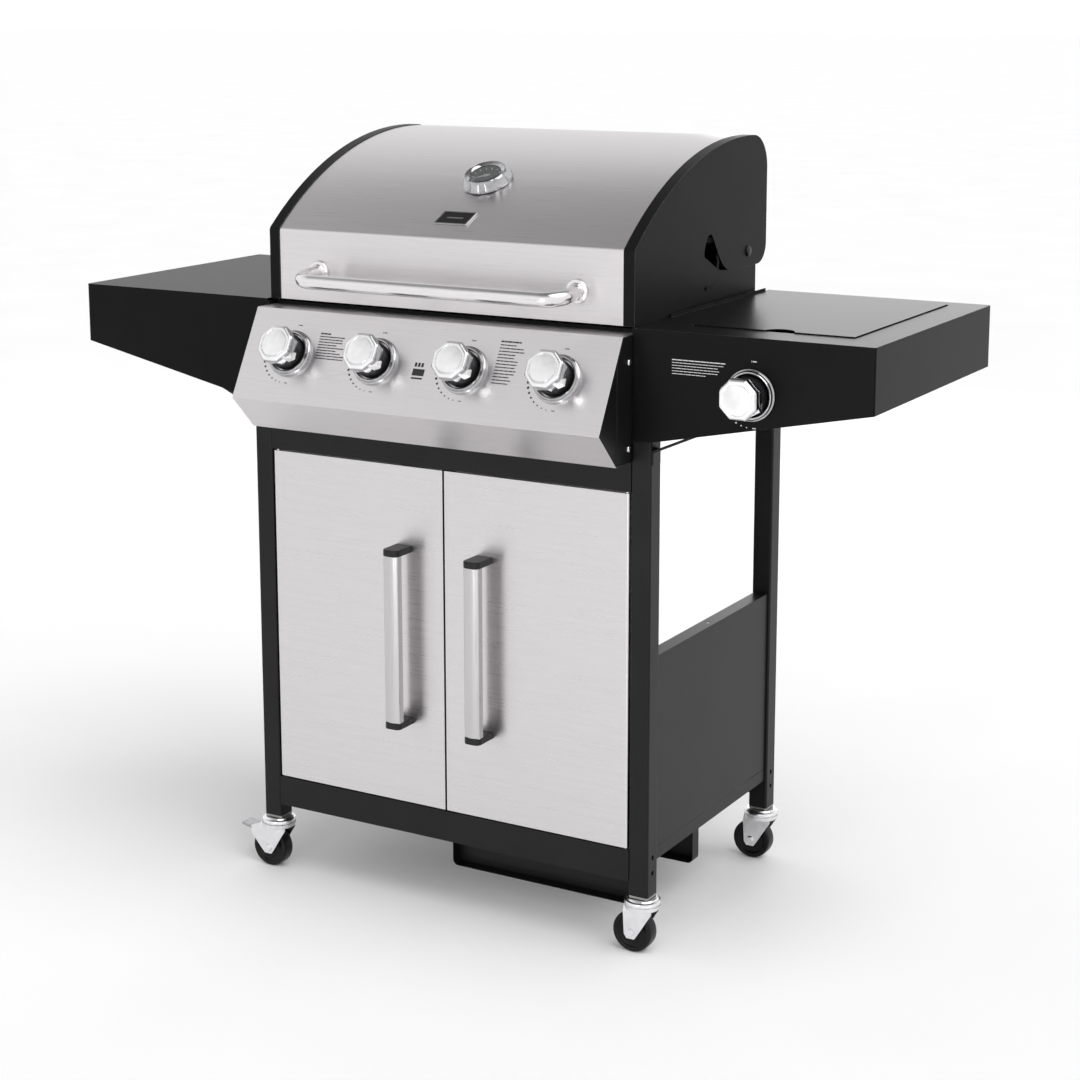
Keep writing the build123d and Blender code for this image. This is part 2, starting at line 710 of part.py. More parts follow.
def thermometer_case():
    low = skin_inset
    profile = [(0, -low), (36.0, -low), (38.0, 1.0), (36.0, 8.0), (31.0, 15.0), (28.0, 15.0),
               (26.5, 13.0), (26.5, 6.0), (0, 6.0)]
    case = revolve(Plane.XZ * Polygon(*profile, align=None), Axis.Z)
    case += Pos(0, 0, -70) * Cylinder(3.0, 72, align=(Align.CENTER, Align.CENTER, Align.MIN))
    pivot = Pos(0, 0, 6) * Cylinder(1.5, 3.0, align=(Align.CENTER, Align.CENTER, Align.MIN))
    return thermometer_plane() * (case + pivot)


def thermometer_needle():
    hand = Pos(0, 0, 7.5) * extrude(Polygon((-2.2, -6), (2.2, -6), (0.6, 20), (-0.6, 20), align=None), 0.8,
                                  dir=(0, 0, 1))
    hub = Pos(0, 0, 7.2) * Cylinder(3.2, 1.4, align=(Align.CENTER, Align.CENTER, Align.MIN))
    bore = Pos(0, 0, 5) * Cylinder(1.5 + running_gap, 8, align=(Align.CENTER, Align.CENTER, Align.MIN))
    needle = hand + hub - bore
    return thermometer_plane() * Rot(0, 0, 120) * needle


def thermometer_lens():
    disc = Pos(0, 0, 10.5) * Cylinder(26.4, 1.5, align=(Align.CENTER, Align.CENTER, Align.MIN))
    return thermometer_plane() * disc


def badge_plate():
    point, normal = lid_surface_frame(-177.0)
    plane = Plane(origin=(0, point[0], point[1]), x_dir=(1, 0, 0), z_dir=(0, normal[0], normal[1]))
    outline = Polygon((-30, -13), (24, -13), (30, 13), (-24, 13), align=None)
    return plane * Pos(0, 0, -skin_inset) * extrude(outline, 3.2, dir=(0, 0, 1))


def fasteners():
    bolts = []
    for side in (-1, 1):
        shank = rod((side * (box_half - 6), hinge_y, hinge_z), (side, 0, 0), hinge_bolt_radius, 12.0)
        head = rod((side * (lid_half + 0.2), hinge_y, hinge_z), (side, 0, 0), 7.5, 2.6)
        nut = rod((side * (box_half - box_wall - 0.1), hinge_y, hinge_z), (-side, 0, 0), 7.0, 6.0)
        bolts.append(shank + head + nut)
        for z in (841.5, 723.5):
            bolts.append(rod((side * (panel_half + 1.2), -226.0, z), (side, 0, 0), 4.2, 2.4))
    return group(*bolts)


# ---------------------------------------------------------------- side shelves and side burner

def shelf(side):
    t = sheet
    outline = [(shelf_inner, skirt_inner_z), (cart_half_width, skirt_inner_z),
               (shelf_outer, skirt_outer_z), (shelf_outer, shelf_top), (shelf_inner, shelf_top)]
    pan = prism_y(outline, shelf_front, shelf_rear)
    tall = [e for e in pan.edges().filter_by(Axis.Z) if e.center().X > shelf_outer - 1]
    pan = fillet(tall, 2.5)
    hollow = block(shelf_inner - 1, shelf_outer - t, shelf_front + t, shelf_rear - t,
                   skirt_inner_z - 1, shelf_top - t)
    pan -= hollow
    pan += block(shelf_inner, shelf_inner + t, lip_front, shelf_rear - 12, shelf_top - t,
                 shelf_top + lip_height)
    return pan if side > 0 else mirror(pan, Plane.YZ)


def shelf_right():
    opening = block(cover_left - cover_gap, cover_right + cover_gap, cover_front - cover_gap,
                    cover_rear + 4.0, shelf_top - 5, shelf_top + 5)
    shaft = rod((side_knob_x, shelf_front - 5, side_knob_z), (0, 1, 0), 9.0, 12)
    return shelf(1) - opening - shaft


def side_burner_pan():
    t = 1.0
    under = shelf_top - sheet - 0.1
    pan = block(cover_left + 4, cover_right - 4, cover_front + 16, cover_rear - 16, 828.0, under)
    pan -= block(cover_left + 4 + t, cover_right - 4 - t, cover_front + 16 + t, cover_rear - 16 - t,
                 828.0 + t, under + 1)
    flange = block(cover_left - 12, cover_right + 12, cover_front - 12, cover_rear + 16,
                   under - t, under)
    flange -= block(cover_left - 3, cover_right + 3, cover_front - 3, cover_rear + 6,
                    under - t - 1, under + 1)
    step = block(cover_left - 4, cover_right + 4, cover_front - 4, cover_rear + 7, 872.0, under)
    step -= block(cover_left - 3, cover_right + 3, cover_front - 3, cover_rear + 6, 873.0, under + 1)
    step -= block(cover_left + 5, cover_right - 5, cover_front + 17, cover_rear - 17, 871.0, 875.0)
    pan -= block(cover_left - 10, cover_right + 10, cover_front - 10, cover_rear + 10, 873.0, under + 2)
    return pan + flange + step


def side_burner():
    profile = [(0, 829.0), (40.0, 829.0), (40.0, 834.0), (26.0, 840.0), (26.0, 848.0), (36.0, 850.0),
               (36.0, 856.0), (30.0, 859.0), (0, 859.0)]
    return Pos(side_burner_x, side_burner_y, 0) * revolve(Plane.XZ * Polygon(*profile, align=None), Axis.Z)


def pot_support():
    x = side_burner_x
    y = side_burner_y
    section = Plane.XZ * Polygon((75, 861), (81, 861), (81, 867), (75, 867), align=None)
    support = Pos(x, y, 0) * revolve(section, Axis.Z)
    for angle in (45, 135, 225, 315):
        support += Pos(x, y, 0) * Rot(0, 0, angle) * (
            block(28, 96, -2.5, 2.5, 861, 871) + block(91, 96, -2.5, 2.5, 829.2, 871))
    return support


def side_burner_cover():
    t = 1.2
    top = shelf_top + cover_rise
    cover = block(cover_left, cover_right, cover_front, cover_rear, shelf_top - cover_depth, top)
    cover = fillet(cover.edges().filter_by(Axis.X).group_by(Axis.Y)[-1].sort_by(Axis.Z)[-1], 3.0)
    cover -= block(cover_left + t, cover_right - t, cover_front + t, cover_rear - t,
                   shelf_top - cover_depth - 1, top - t)
    notch = Pos(notch_x, cover_front - 3, shelf_top - 15) * Cylinder(
        notch_radius, 30, align=(Align.CENTER, Align.CENTER, Align.MIN))
    cover -= notch
    for side in (-1, 1):
        cover += rod((side_burner_x + side * 70 - 15, cover_hinge_y, cover_hinge_z), (1, 0, 0), 2.5, 30)
    return cover


# ---------------------------------------------------------------- casters

def corner_points():
    names = ("front_left", "front_right", "rear_left", "rear_right")
    signs = ((-1, -1), (1, -1), (-1, 1), (1, 1))
    return [(name, sx * leg_centre_x, sy * leg_centre_y) for name, (sx, sy) in zip(names, signs)]


def caster_stems():
    stems = []
    plug_size = leg_size - 2 * leg_wall
    for name, x, y in corner_points():
        plug = Pos(x, y, leg_bottom) * extrude(RectangleRounded(plug_size, plug_size, 1.5), 14)
        plug += Pos(x, y, leg_bottom - 3) * extrude(RectangleRounded(leg_size, leg_size, 3), 3)
        plug += rod((x, y, leg_bottom - 3), (0, 0, -1), swivel_radius, 17.0)
        stems.append(plug)
    return group(*stems)


def fork_plate_outline():
    # (X, Z) of one fork side, from the head down to the axle
    axle_z = wheel_radius
    return [(-22.0, 72.0), (20.0, 72.0), (20.0, 62.0), (-1.0, axle_z - 2), (-6.0, axle_z - 9),
            (-18.0, axle_z - 9), (-22.0, axle_z - 3), (-24.0, 62.0)]


def braked_fork_outline():
    axle_z = wheel_radius
    return [(-22.0, 72.0), (20.0, 72.0), (20.0, 62.0), (-1.0, axle_z - 2), (-6.0, axle_z - 9),
            (-18.0, axle_z - 9), (-24.0, axle_z - 3), (-43.0, 49.0), (-43.0, 61.0), (-30.0, 66.0)]


def caster_fork(braked):
    head = revolve(Plane.XZ * Polygon((0, 66), (24, 66), (26, 70), (26, 76), (21, 82), (0, 82),
                                      align=None), Axis.Z)
    fork = head
    outline = braked_fork_outline() if braked else fork_plate_outline()
    inside = wheel_width / 2 + 1.5
    for y0 in (-inside - 2, inside):
        fork += prism_y(outline, y0, y0 + 2)
    fork -= rod((0, 0, 60), (0, 0, 1), swivel_radius + running_gap, 30)
    axle = rod((-trail, -inside - 4, wheel_radius), (0, 1, 0), axle_radius, 2 * inside + 8)
    fork += axle
    return fork


def caster_wheel():
    half = wheel_width / 2
    r = wheel_radius
    profile = [(axle_radius + running_gap, -half), (10, -half), (12, -half + 2), (21, -half + 2),
               (23, -half), (r - 3, -half), (r, -half + 3), (r, half - 3), (r - 3, half),
               (23, half), (21, half - 2), (12, half - 2), (10, half), (axle_radius + running_gap, half)]
    wheel = revolve(Plane.XZ * Polygon(*profile, align=None), Axis.Z)
    return Pos(-trail, 0, r) * Rot(90, 0, 0) * wheel


def brake_lever():
    # the pedal and its shoe, between the fork sides above the wheel
    half = wheel_width / 2 + 1.1
    px = -trail + brake_pivot_x
    pz = wheel_radius + brake_pivot_z
    lever = rod((px, -half, pz), (0, 1, 0), 4.0, 2 * half)
    pedal = [(px - 2, pz - 1.5), (px - 26, pz + 3.0), (px - 27, pz + 6.5), (px - 2, pz + 3)]
    lever += prism_y(pedal, -half, half)
    return lever


# ---------------------------------------------------------------- writing

def parts():
    shapes = {}
    shapes["front_legs"] = group(leg(-1, -1), leg(1, -1))
    shapes["rear_legs"] = group(leg(-1, 1), leg(1, 1))
    shapes["front_rails"] = front_rails()
    shapes["rails_and_braces"] = rails_and_braces()
    shapes["bottom_shelf"] = bottom_shelf()
    shapes["side_panel_left"] = side_panel(-1)
    shapes["side_panel_right"] = side_panel(1)
    shapes["bottle_cradle"] = bottle_cradle()
    shapes["door_pins"] = door_pins()
    shapes["door_left"] = door(-1)
    shapes["door_right"] = door(1)
    shapes["door_handle_left"] = door_handle(-1)
    shapes["door_handle_right"] = door_handle(1)
    shapes["control_panel"] = control_panel()
    shapes["panel_end_plates"] = panel_end_plates()
    shapes["knob_bezels"] = knob_bezels()
    shapes["gas_manifold"] = gas_manifold()
    shapes["gas_valves"] = gas_valves()
    for i, plane in enumerate(knob_planes()):
        shapes[f"valve_stem_{i + 1}"] = valve_stem(plane)
        shapes[f"knob_{i + 1}"] = knob(plane)
    shapes["firebox"] = firebox()
    shapes["burners"] = burners()
    shapes["flame_tamers"] = flame_tamers()
    shapes["cooking_grates"] = cooking_grates()
    shapes["warming_rack"] = warming_rack()
    shapes["grease_tray"] = grease_tray()
    shapes["grease_cup"] = grease_cup()
    shapes["lid_skin"] = lid_skin()
    shapes["lid_cap_left"] = lid_cap(-1)
    shapes["lid_cap_right"] = lid_cap(1)
    shapes["lid_handle"] = lid_handle()
    shapes["thermometer_case"] = thermometer_case()
    shapes["thermometer_needle"] = thermometer_needle()
    shapes["thermometer_lens"] = thermometer_lens()
    shapes["badge_plate"] = badge_plate()
    shapes["fasteners"] = fasteners()
    shapes["shelf_left"] = shelf(-1)
    shapes["shelf_right"] = shelf_right()
    shapes["side_burner_pan"] = side_burner_pan()
    shapes["side_burner"] = side_burner()
    shapes["pot_support"] = pot_support()
    shapes["side_burner_cover"] = side_burner_cover()
    shapes["caster_stems"] = caster_stems()
    for name, x, y in corner_points():
        braked = name == "front_left"
        shapes[f"caster_fork_{name}"] = Pos(x, y, 0) * caster_fork(braked)
        shapes[f"caster_wheel_{name}"] = Pos(x, y, 0) * caster_wheel()
        if braked:
            shapes["brake_lever"] = Pos(x, y, 0) * brake_lever()
    return shapes


os.makedirs("parts", exist_ok=True)
for node, shape in parts().items():
    export_step(Pos(0, origin_shift, 0) * shape, f"parts/{node}.step")
    print(node)
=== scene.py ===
# Gas barbecue grill: the finished looks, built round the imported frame.
# All sizes in the dictionaries are in millimetres unless a note says otherwise.
import json
import math
import random

import bmesh
import bpy
from mathutils import Matrix, Vector


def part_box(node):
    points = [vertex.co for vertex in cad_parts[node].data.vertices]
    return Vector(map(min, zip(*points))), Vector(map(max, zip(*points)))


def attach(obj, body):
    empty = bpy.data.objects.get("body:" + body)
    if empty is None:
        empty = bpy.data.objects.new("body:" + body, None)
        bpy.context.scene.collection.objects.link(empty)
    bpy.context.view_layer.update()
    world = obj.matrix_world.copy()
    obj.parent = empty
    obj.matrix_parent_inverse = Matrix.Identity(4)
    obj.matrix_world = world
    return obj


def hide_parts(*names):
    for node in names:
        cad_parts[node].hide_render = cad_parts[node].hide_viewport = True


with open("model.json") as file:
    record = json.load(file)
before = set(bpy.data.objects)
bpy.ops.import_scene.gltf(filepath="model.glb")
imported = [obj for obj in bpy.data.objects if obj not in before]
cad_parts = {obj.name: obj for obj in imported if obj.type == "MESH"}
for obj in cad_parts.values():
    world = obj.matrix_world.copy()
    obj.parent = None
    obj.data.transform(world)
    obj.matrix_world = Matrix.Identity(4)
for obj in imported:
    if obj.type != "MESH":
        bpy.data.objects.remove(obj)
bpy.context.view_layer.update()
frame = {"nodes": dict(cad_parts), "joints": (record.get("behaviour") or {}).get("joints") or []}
jointByName = {joint["name"]: joint for joint in frame["joints"]}
corners = ("front_left", "front_right", "rear_left", "rear_right")
print("frame loaded:", len(frame["nodes"]), "nodes")


def metres(*values):
    return Vector(values) * 0.001


def linearColour(hexText, alpha=1.0):
    # sRGB hex to the linear values that the shaders take
    channels = [int(hexText[i:i + 2], 16) / 255 for i in (1, 3, 5)]
    return tuple(c / 12.92 if c <= 0.04045 else ((c + 0.055) / 1.055) ** 2.4 for c in channels) + (alpha,)


def addNode(tree, kind, settings=None, links=None):
    # adds one node, sets its sockets and properties, and links its inputs
    node = tree.nodes.new(kind)
    for key, value in (settings or {}).items():
        if isinstance(key, int) or key in node.inputs:
            node.inputs[key].default_value = value
        else:
            setattr(node, key, value)
    for key, source in (links or {}).items():
        tree.links.new(source, node.inputs[key])
    return node


def newMaterial(name, shader):
    material = bpy.data.materials.new(name)
    material.use_nodes = True
    tree = material.node_tree
    tree.nodes.clear()
    surface = addNode(tree, "ShaderNodeBsdfPrincipled", shader)
    addNode(tree, "ShaderNodeOutputMaterial", links={"Surface": surface.outputs["BSDF"]})
    return material, tree, surface


def grainPattern(tree, cell, detail=2.0, roughness=0.5):
    # noise whose cells measure cell = (x, y, z) millimetres on the object itself
    place = addNode(tree, "ShaderNodeTexCoord")
    scaled = addNode(tree, "ShaderNodeMapping", {"Scale": tuple(1000 / c for c in cell)},
                     {"Vector": place.outputs["Object"]})
    return addNode(tree, "ShaderNodeTexNoise", {"Scale": 1.0, "Detail": detail, "Roughness": roughness},
                   {"Vector": scaled.outputs["Vector"]})


def tintByPattern(tree, surface, pattern, darkHex, lightHex, low=0.3, high=0.7):
    ramp = addNode(tree, "ShaderNodeValToRGB", links={"Fac": pattern.outputs["Fac"]})
    ramp.color_ramp.elements[0].position = low
    ramp.color_ramp.elements[0].color = linearColour(darkHex)
    ramp.color_ramp.elements[1].position = high
    ramp.color_ramp.elements[1].color = linearColour(lightHex)
    tree.links.new(ramp.outputs["Color"], surface.inputs["Base Color"])


def roughnessByPattern(tree, surface, pattern, low, high):
    limits = {"From Min": 0.3, "From Max": 0.7, "To Min": low, "To Max": high}
    spread = addNode(tree, "ShaderNodeMapRange", limits, {"Value": pattern.outputs["Fac"]})
    tree.links.new(spread.outputs["Result"], surface.inputs["Roughness"])


def bumpByPattern(tree, surface, pattern, depth, strength=1.0):
    # depth in millimetres between the pattern's low and high points
    bump = addNode(tree, "ShaderNodeBump", {"Strength": strength, "Distance": depth * 0.001},
                   {"Height": pattern.outputs["Fac"]})
    tree.links.new(bump.outputs["Normal"], surface.inputs["Normal"])


def powderCoatedSteel(name, look):
    # steel sprayed with powder and baked: satin black with a fine orange peel and faint clouding
    material, tree, surface = newMaterial(name, {"Roughness": look["roughness"], "IOR": 1.5,
                                                 "Specular IOR Level": look["specular"]})
    clouds = grainPattern(tree, (look["cloudSize"],) * 3, detail=3.0)
    tintByPattern(tree, surface, clouds, look["dark"], look["light"])
    peel = grainPattern(tree, (look["peelSize"],) * 3, detail=2.0)
    bumpByPattern(tree, surface, peel, look["peelDepth"])
    return material


def brushedStainless(name, look):
    # rolled stainless sheet drawn under an abrasive belt: long fine streaks one way, a soft stretched sheen
    material, tree, surface = newMaterial(name, {"Metallic": 1.0})
    streaks = grainPattern(tree, look["streakCell"], detail=4.0, roughness=0.65)
    tintByPattern(tree, surface, streaks, look["dark"], look["light"], low=0.25, high=0.75)
    roughnessByPattern(tree, surface, streaks, look["roughLow"], look["roughHigh"])
    bumpByPattern(tree, surface, streaks, look["streakDepth"])
    surface.inputs["Anisotropic"].default_value = look["stretch"]
    across = addNode(tree, "ShaderNodeVectorTransform", {"vector_type": "VECTOR", "convert_from": "OBJECT",
                                                         "convert_to": "WORLD", "Vector": look["across"]})
    tree.links.new(across.outputs["Vector"], surface.inputs["Tangent"])
    return material


def chromePlate(name, look):
    # bright nickel-chrome plating over a smooth moulding: a near mirror with a faint ripple
    material, tree, surface = newMaterial(name, {"Metallic": 1.0})
    ripple = grainPattern(tree, (look["rippleSize"],) * 3, detail=1.0)
    tintByPattern(tree, surface, ripple, look["dark"], look["light"])
    roughnessByPattern(tree, surface, ripple, look["roughLow"], look["roughHigh"])
    bumpByPattern(tree, surface, ripple, look["rippleDepth"])
    return material


def mouldedPlastic(name, look):
    # injection-moulded plastic: an even colour with the fine spark-eroded grain of its mould
    material, tree, surface = newMaterial(name, {"Roughness": look["roughness"], "IOR": 1.5,
                                                 "Specular IOR Level": look["specular"]})
    grain = grainPattern(tree, (look["grainSize"],) * 3, detail=2.0)
    tintByPattern(tree, surface, grain, look["dark"], look["light"])
    bumpByPattern(tree, surface, grain, look["grainDepth"])
    return material


def zincPlate(name, look):
    # pressed steel with bright zinc: bluish silver with soft spangle and uneven shine
    material, tree, surface = newMaterial(name, {"Metallic": 1.0})
    spangle = grainPattern(tree, (look["spangleSize"],) * 3, detail=3.0)
    tintByPattern(tree, surface, spangle, look["dark"], look["light"])
    roughnessByPattern(tree, surface, spangle, look["roughLow"], look["roughHigh"])
    bumpByPattern(tree, surface, spangle, look["spangleDepth"])
    return material


def enamelledIron(name, look):
    # sand-cast iron under matt enamel: near black, with the pebbled skin of the sand mould
    material, tree, surface = newMaterial(name, {"Roughness": look["roughness"], "IOR": 1.5})
    sand = grainPattern(tree, (look["sandSize"],) * 3, detail=4.0, roughness=0.6)
    tintByPattern(tree, surface, sand, look["dark"], look["light"])
    bumpByPattern(tree, surface, sand, look["sandDepth"])
    return material


def machinedBrass(name, look):
    # turned brass: warm yellow with fine tool marks
    material, tree, surface = newMaterial(name, {"Metallic": 1.0})
    marks = grainPattern(tree, look["markCell"], detail=3.0)
    tintByPattern(tree, surface, marks, look["dark"], look["light"])
    roughnessByPattern(tree, surface, marks, look["roughLow"], look["roughHigh"])
    bumpByPattern(tree, surface, marks, look["markDepth"])
    return material


def gaugeGlass(name):
    # pressed soda-lime glass over the dial: clear, glossy, a trace of waviness
    material, tree, surface = newMaterial(name, {"Base Color": linearColour("#f4f8f8"), "Roughness": 0.03,
                                                 "IOR": 1.45, "Transmission Weight": 1.0})
    wave = grainPattern(tree, (9, 9, 9), detail=1.0)
    bumpByPattern(tree, surface, wave, 0.01)
    return material


def printedInk(name, hexDark, hexLight):
    # screen-printed ink: flat and slightly uneven where the mesh left it thin
    material, tree, surface = newMaterial(name, {"Roughness": 0.55, "IOR": 1.5})
    thin = grainPattern(tree, (0.6, 0.6, 0.6), detail=2.0)
    tintByPattern(tree, surface, thin, hexDark, hexLight)
    return material


blackCoat = powderCoatedSteel("powderCoatedFrameSteel", {
    "dark": "#121213", "light": "#171718", "roughness": 0.38, "specular": 0.2, "cloudSize": 70,
    "peelSize": 1.6, "peelDepth": 0.02})      # the peel is drawn about twice as coarse as real, so it shows
shelfCoat = powderCoatedSteel("powderCoatedShelfSteel", {
    "dark": "#0e0e0f", "light": "#131314", "roughness": 0.34, "specular": 0.07, "cloudSize": 110,
    "peelSize": 1.8, "peelDepth": 0.018})
capCoat = powderCoatedSteel("powderCoatedHoodSteel", {
    "dark": "#0e0e0f", "light": "#131314", "roughness": 0.4, "specular": 0.08, "cloudSize": 90,
    "peelSize": 1.5, "peelDepth": 0.025})
edgeHighlightCoat = powderCoatedSteel("paintedEdgeHighlightCoat", {
    "dark": "#88888a", "light": "#a2a2a4", "roughness": 0.3, "specular": 0.5, "cloudSize": 40,
    "peelSize": 1.5, "peelDepth": 0.01})      # painted highlight: a light grey coat on the rounded folds, standing in for the light line along each edge
# belt lines are drawn 0.6 to 0.8 wide and mill marks 3 wide, several times coarser than real, so they show
stainless = brushedStainless("brushedStainlessSheet", {
    "dark": "#d2cfd0", "light": "#dfdcdd", "roughLow": 0.27, "roughHigh": 0.35, "stretch": 0.6,
    "across": (0, 0.7, 0.7), "streakCell": (90, 0.7, 0.7), "streakDepth": 0.004})
stainlessDoor = brushedStainless("brushedStainlessDoor", {
    "dark": "#cfcccd", "light": "#d8d6d7", "roughLow": 0.26, "roughHigh": 0.33, "stretch": 0.75,
    "across": (0, 0, 1), "streakCell": (160, 0.8, 0.8), "streakDepth": 0.0006})
satinTube = brushedStainless("satinStainlessTube", {
    "dark": "#d6d4d5", "light": "#efedee", "roughLow": 0.17, "roughHigh": 0.24, "stretch": 0.3,
    "across": (0, 0.7, 0.7), "streakCell": (40, 0.6, 0.6), "streakDepth": 0.003})
satinBar = brushedStainless("satinStainlessBar", {
    "dark": "#b9b7b8", "light": "#cbc9ca", "roughLow": 0.14, "roughHigh": 0.2, "stretch": 0.5,
    "across": (0, 0, 1), "streakCell": (0.6, 0.6, 60), "streakDepth": 0.002})
plainSteel = brushedStainless("milledSheetSteel", {
    "dark": "#8f8e8b", "light": "#a9a8a5", "roughLow": 0.35, "roughHigh": 0.5, "stretch": 0.2,
    "across": (0, 0.7, 0.7), "streakCell": (40, 3, 3), "streakDepth": 0.004})
chrome = chromePlate("brightChromePlate", {
    "dark": "#a6a6a8", "light": "#bababc", "roughLow": 0.08, "roughHigh": 0.12,
    "rippleSize": 9, "rippleDepth": 0.05})
satinChrome = chromePlate("satinChromePlate", {
    "dark": "#eaeaeb", "light": "#f4f4f5", "roughLow": 0.2, "roughHigh": 0.26,
    "rippleSize": 14, "rippleDepth": 0.01})
blackPlastic = mouldedPlastic("mouldedBlackNylon", {
    "dark": "#121213", "light": "#171718", "roughness": 0.38, "specular": 0.3,
    "grainSize": 0.5, "grainDepth": 0.02})
wheelCore = mouldedPlastic("mouldedBlackPolypropylene", {
    "dark": "#08080a", "light": "#0d0d0e", "roughness": 0.3, "specular": 0.2,
    "grainSize": 0.6, "grainDepth": 0.02})
treadRubber = mouldedPlastic("mouldedGreyBlackTread", {
    "dark": "#0b0b0c", "light": "#111112", "roughness": 0.34, "specular": 0.2,
    "grainSize": 0.8, "grainDepth": 0.03})
zinc = zincPlate("brightZincPlate", {
    "dark": "#e3e3e6", "light": "#efeff1", "roughLow": 0.2, "roughHigh": 0.26,
    "spangleSize": 9, "spangleDepth": 0.008})
castIron = enamelledIron("enamelledCastIron", {
    "dark": "#111111", "light": "#1c1b1a", "roughness": 0.5, "sandSize": 1.2, "sandDepth": 0.12})
brass = machinedBrass("machinedBrass", {
    "dark": "#b08d4a", "light": "#d3b06a", "roughLow": 0.22, "roughHigh": 0.36,
    "markCell": (1.5, 8, 1.5), "markDepth": 0.01})
glass = gaugeGlass("gaugeGlass")
darkInk = printedInk("screenPrintBlackInk", "#161617", "#252526")
paleInk = printedInk("screenPrintWhiteInk", "#c9c9c9", "#e6e6e6")
dialFace = printedInk("lithographedDialFace", "#121314", "#1a1b1c")
needlePaint = printedInk("sprayedPointerPaint", "#9fa1a3", "#b9bbbd")
badgeEnamel = mouldedPlastic("badgeBlackEnamel", {
    "dark": "#0f0f10", "light": "#141415", "roughness": 0.2, "specular": 0.4,
    "grainSize": 3, "grainDepth": 0.004})
print("materials made:", len(bpy.data.materials))


def finishNodes(names, material, edge, segments=2, edgeHighlightMaterial=None):
    # carried-over CAD nodes keep their shape: folded edges get a small radius, in millimetres, and a finish;
    # where an edge material is given, that radius is painted light grey as a painted highlight
    for name in names:
        piece = frame["nodes"][name]
        if not piece.material_slots:
            piece.data.materials.append(material)
        for place in piece.material_slots:
            place.material = material
        weld = piece.modifiers.new("weld", "WELD")
        weld.merge_threshold = 0.00002
        bevel = piece.modifiers.new("foldRadius", "BEVEL")
        bevel.width = edge * 0.001
        bevel.segments = segments
        bevel.limit_method = "ANGLE"
        bevel.angle_limit = math.radians(34)
        bevel.use_clamp_overlap = True
        if edgeHighlightMaterial:
            piece.data.materials.append(edgeHighlightMaterial)
            bevel.material = len(piece.material_slots) - 1
        normals = piece.modifiers.new("evenNormals", "WEIGHTED_NORMAL")
        normals.keep_sharp = False


finishNodes(["front_legs", "rear_legs", "front_rails", "rails_and_braces"], blackCoat, edge=0.5)
finishNodes(["bottom_shelf", "side_panel_left", "side_panel_right", "bottle_cradle", "panel_end_plates"],
            blackCoat, edge=0.35)
# shelves, burner cover and hood caps: their rounded fold edges carry the painted highlight
finishNodes(["shelf_left", "shelf_right", "side_burner_cover"], shelfCoat, edge=0.8, edgeHighlightMaterial=edgeHighlightCoat)
finishNodes(["lid_cap_left", "lid_cap_right"], capCoat, edge=1.0, edgeHighlightMaterial=edgeHighlightCoat)
finishNodes(["firebox"], capCoat, edge=0.3)
finishNodes(["lid_skin", "control_panel"], stainless, edge=0.45)
finishNodes(["door_left", "door_right"], stainlessDoor, edge=0.5)
finishNodes(["gas_manifold", "burners", "flame_tamers", "warming_rack", "grease_tray", "grease_cup",
             "side_burner_pan"], plainSteel, edge=0.3)
finishNodes(["cooking_grates", "pot_support"], castIron, edge=1.0)
finishNodes(["gas_valves"] + [f"valve_stem_{i}" for i in range(1, 6)], brass, edge=0.4)
finishNodes(["caster_stems"], plainSteel, edge=0.4)
finishNodes(["door_pins"] + [f"caster_fork_{name}" for name in corners], zinc, edge=0.4)
finishNodes(["brake_lever"], chrome, edge=0.5)
finishNodes(["thermometer_needle"], needlePaint, edge=0.1, segments=1)
print("frame nodes finished")


def makePiece(name, verts, faces, material, body, slot, smoothAngle=35, bevel=0.0):
    # verts are in metres in the row frame
    mesh = bpy.data.meshes.new(name)
    mesh.from_pydata([tuple(v) for v in verts], [], faces)
    shape = bmesh.new()
    shape.from_mesh(mesh)
    bmesh.ops.remove_doubles(shape, verts=shape.verts, dist=0.000005)
    bmesh.ops.recalc_face_normals(shape, faces=shape.faces)
    shape.to_mesh(mesh)
    shape.free()
    for face in mesh.polygons:
        face.use_smooth = True
    mesh.set_sharp_from_angle(angle=math.radians(smoothAngle))
    mesh.materials.append(material)
    piece = bpy.data.objects.new(name, mesh)
    bpy.context.scene.collection.objects.link(piece)
    if bevel:
        rounding = piece.modifiers.new("edgeRadius", "BEVEL")
        rounding.width = bevel * 0.001
        rounding.segments = 3
        rounding.limit_method = "ANGLE"
        rounding.angle_limit = math.radians(30)
        normals = piece.modifiers.new("evenNormals", "WEIGHTED_NORMAL")
        normals.keep_sharp = False
    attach(piece, body)
    return piece


def placeAlong(origin, axis, side=(1, 0, 0)):
    # a local frame whose Z runs along axis and whose X stays near side
    z = Vector(axis).normalized()
    y = z.cross(Vector(side)).normalized()
    x = y.cross(z)
    turned = Matrix((x, y, z)).transposed().to_4x4()
    turned.translation = Vector(origin)
    return turned


def ringStack(rings, place, close=(True, True)):
    # joins rings of points (lists of local millimetre points) into one skin
    verts = [place @ (Vector(p) * 0.001) for ring in rings for p in ring]
    count = len(rings[0])
    faces = []
    for k in range(len(rings) - 1):
        for i in range(count):
            j = (i + 1) % count
            faces.append((k * count + i, k * count + j, (k + 1) * count + j, (k + 1) * count + i))
    if close[0]:
        faces.append(tuple(range(count))[::-1])
    if close[1]:
        last = (len(rings) - 1) * count
        faces.append(tuple(range(last, last + count)))
    return verts, faces


def turned(profile, place, segments=64, shape=None, loop=False):
    # a lathe: profile is (radius, height), shape(angle) may scale the radius of a ring
    rings = []
    for radius, height, *blend in profile:
        ring = []
        for i in range(segments):
            angle = 2 * math.pi * i / segments
            share = blend[0] if blend else 0.0
            r = radius * (1 + share * (shape(angle) - 1)) if shape else radius
            ring.append((r * math.cos(angle), r * math.sin(angle), height))
        rings.append(ring)
    if loop:
        rings.append(rings[0])
    return ringStack(rings, place, (not loop, not loop))


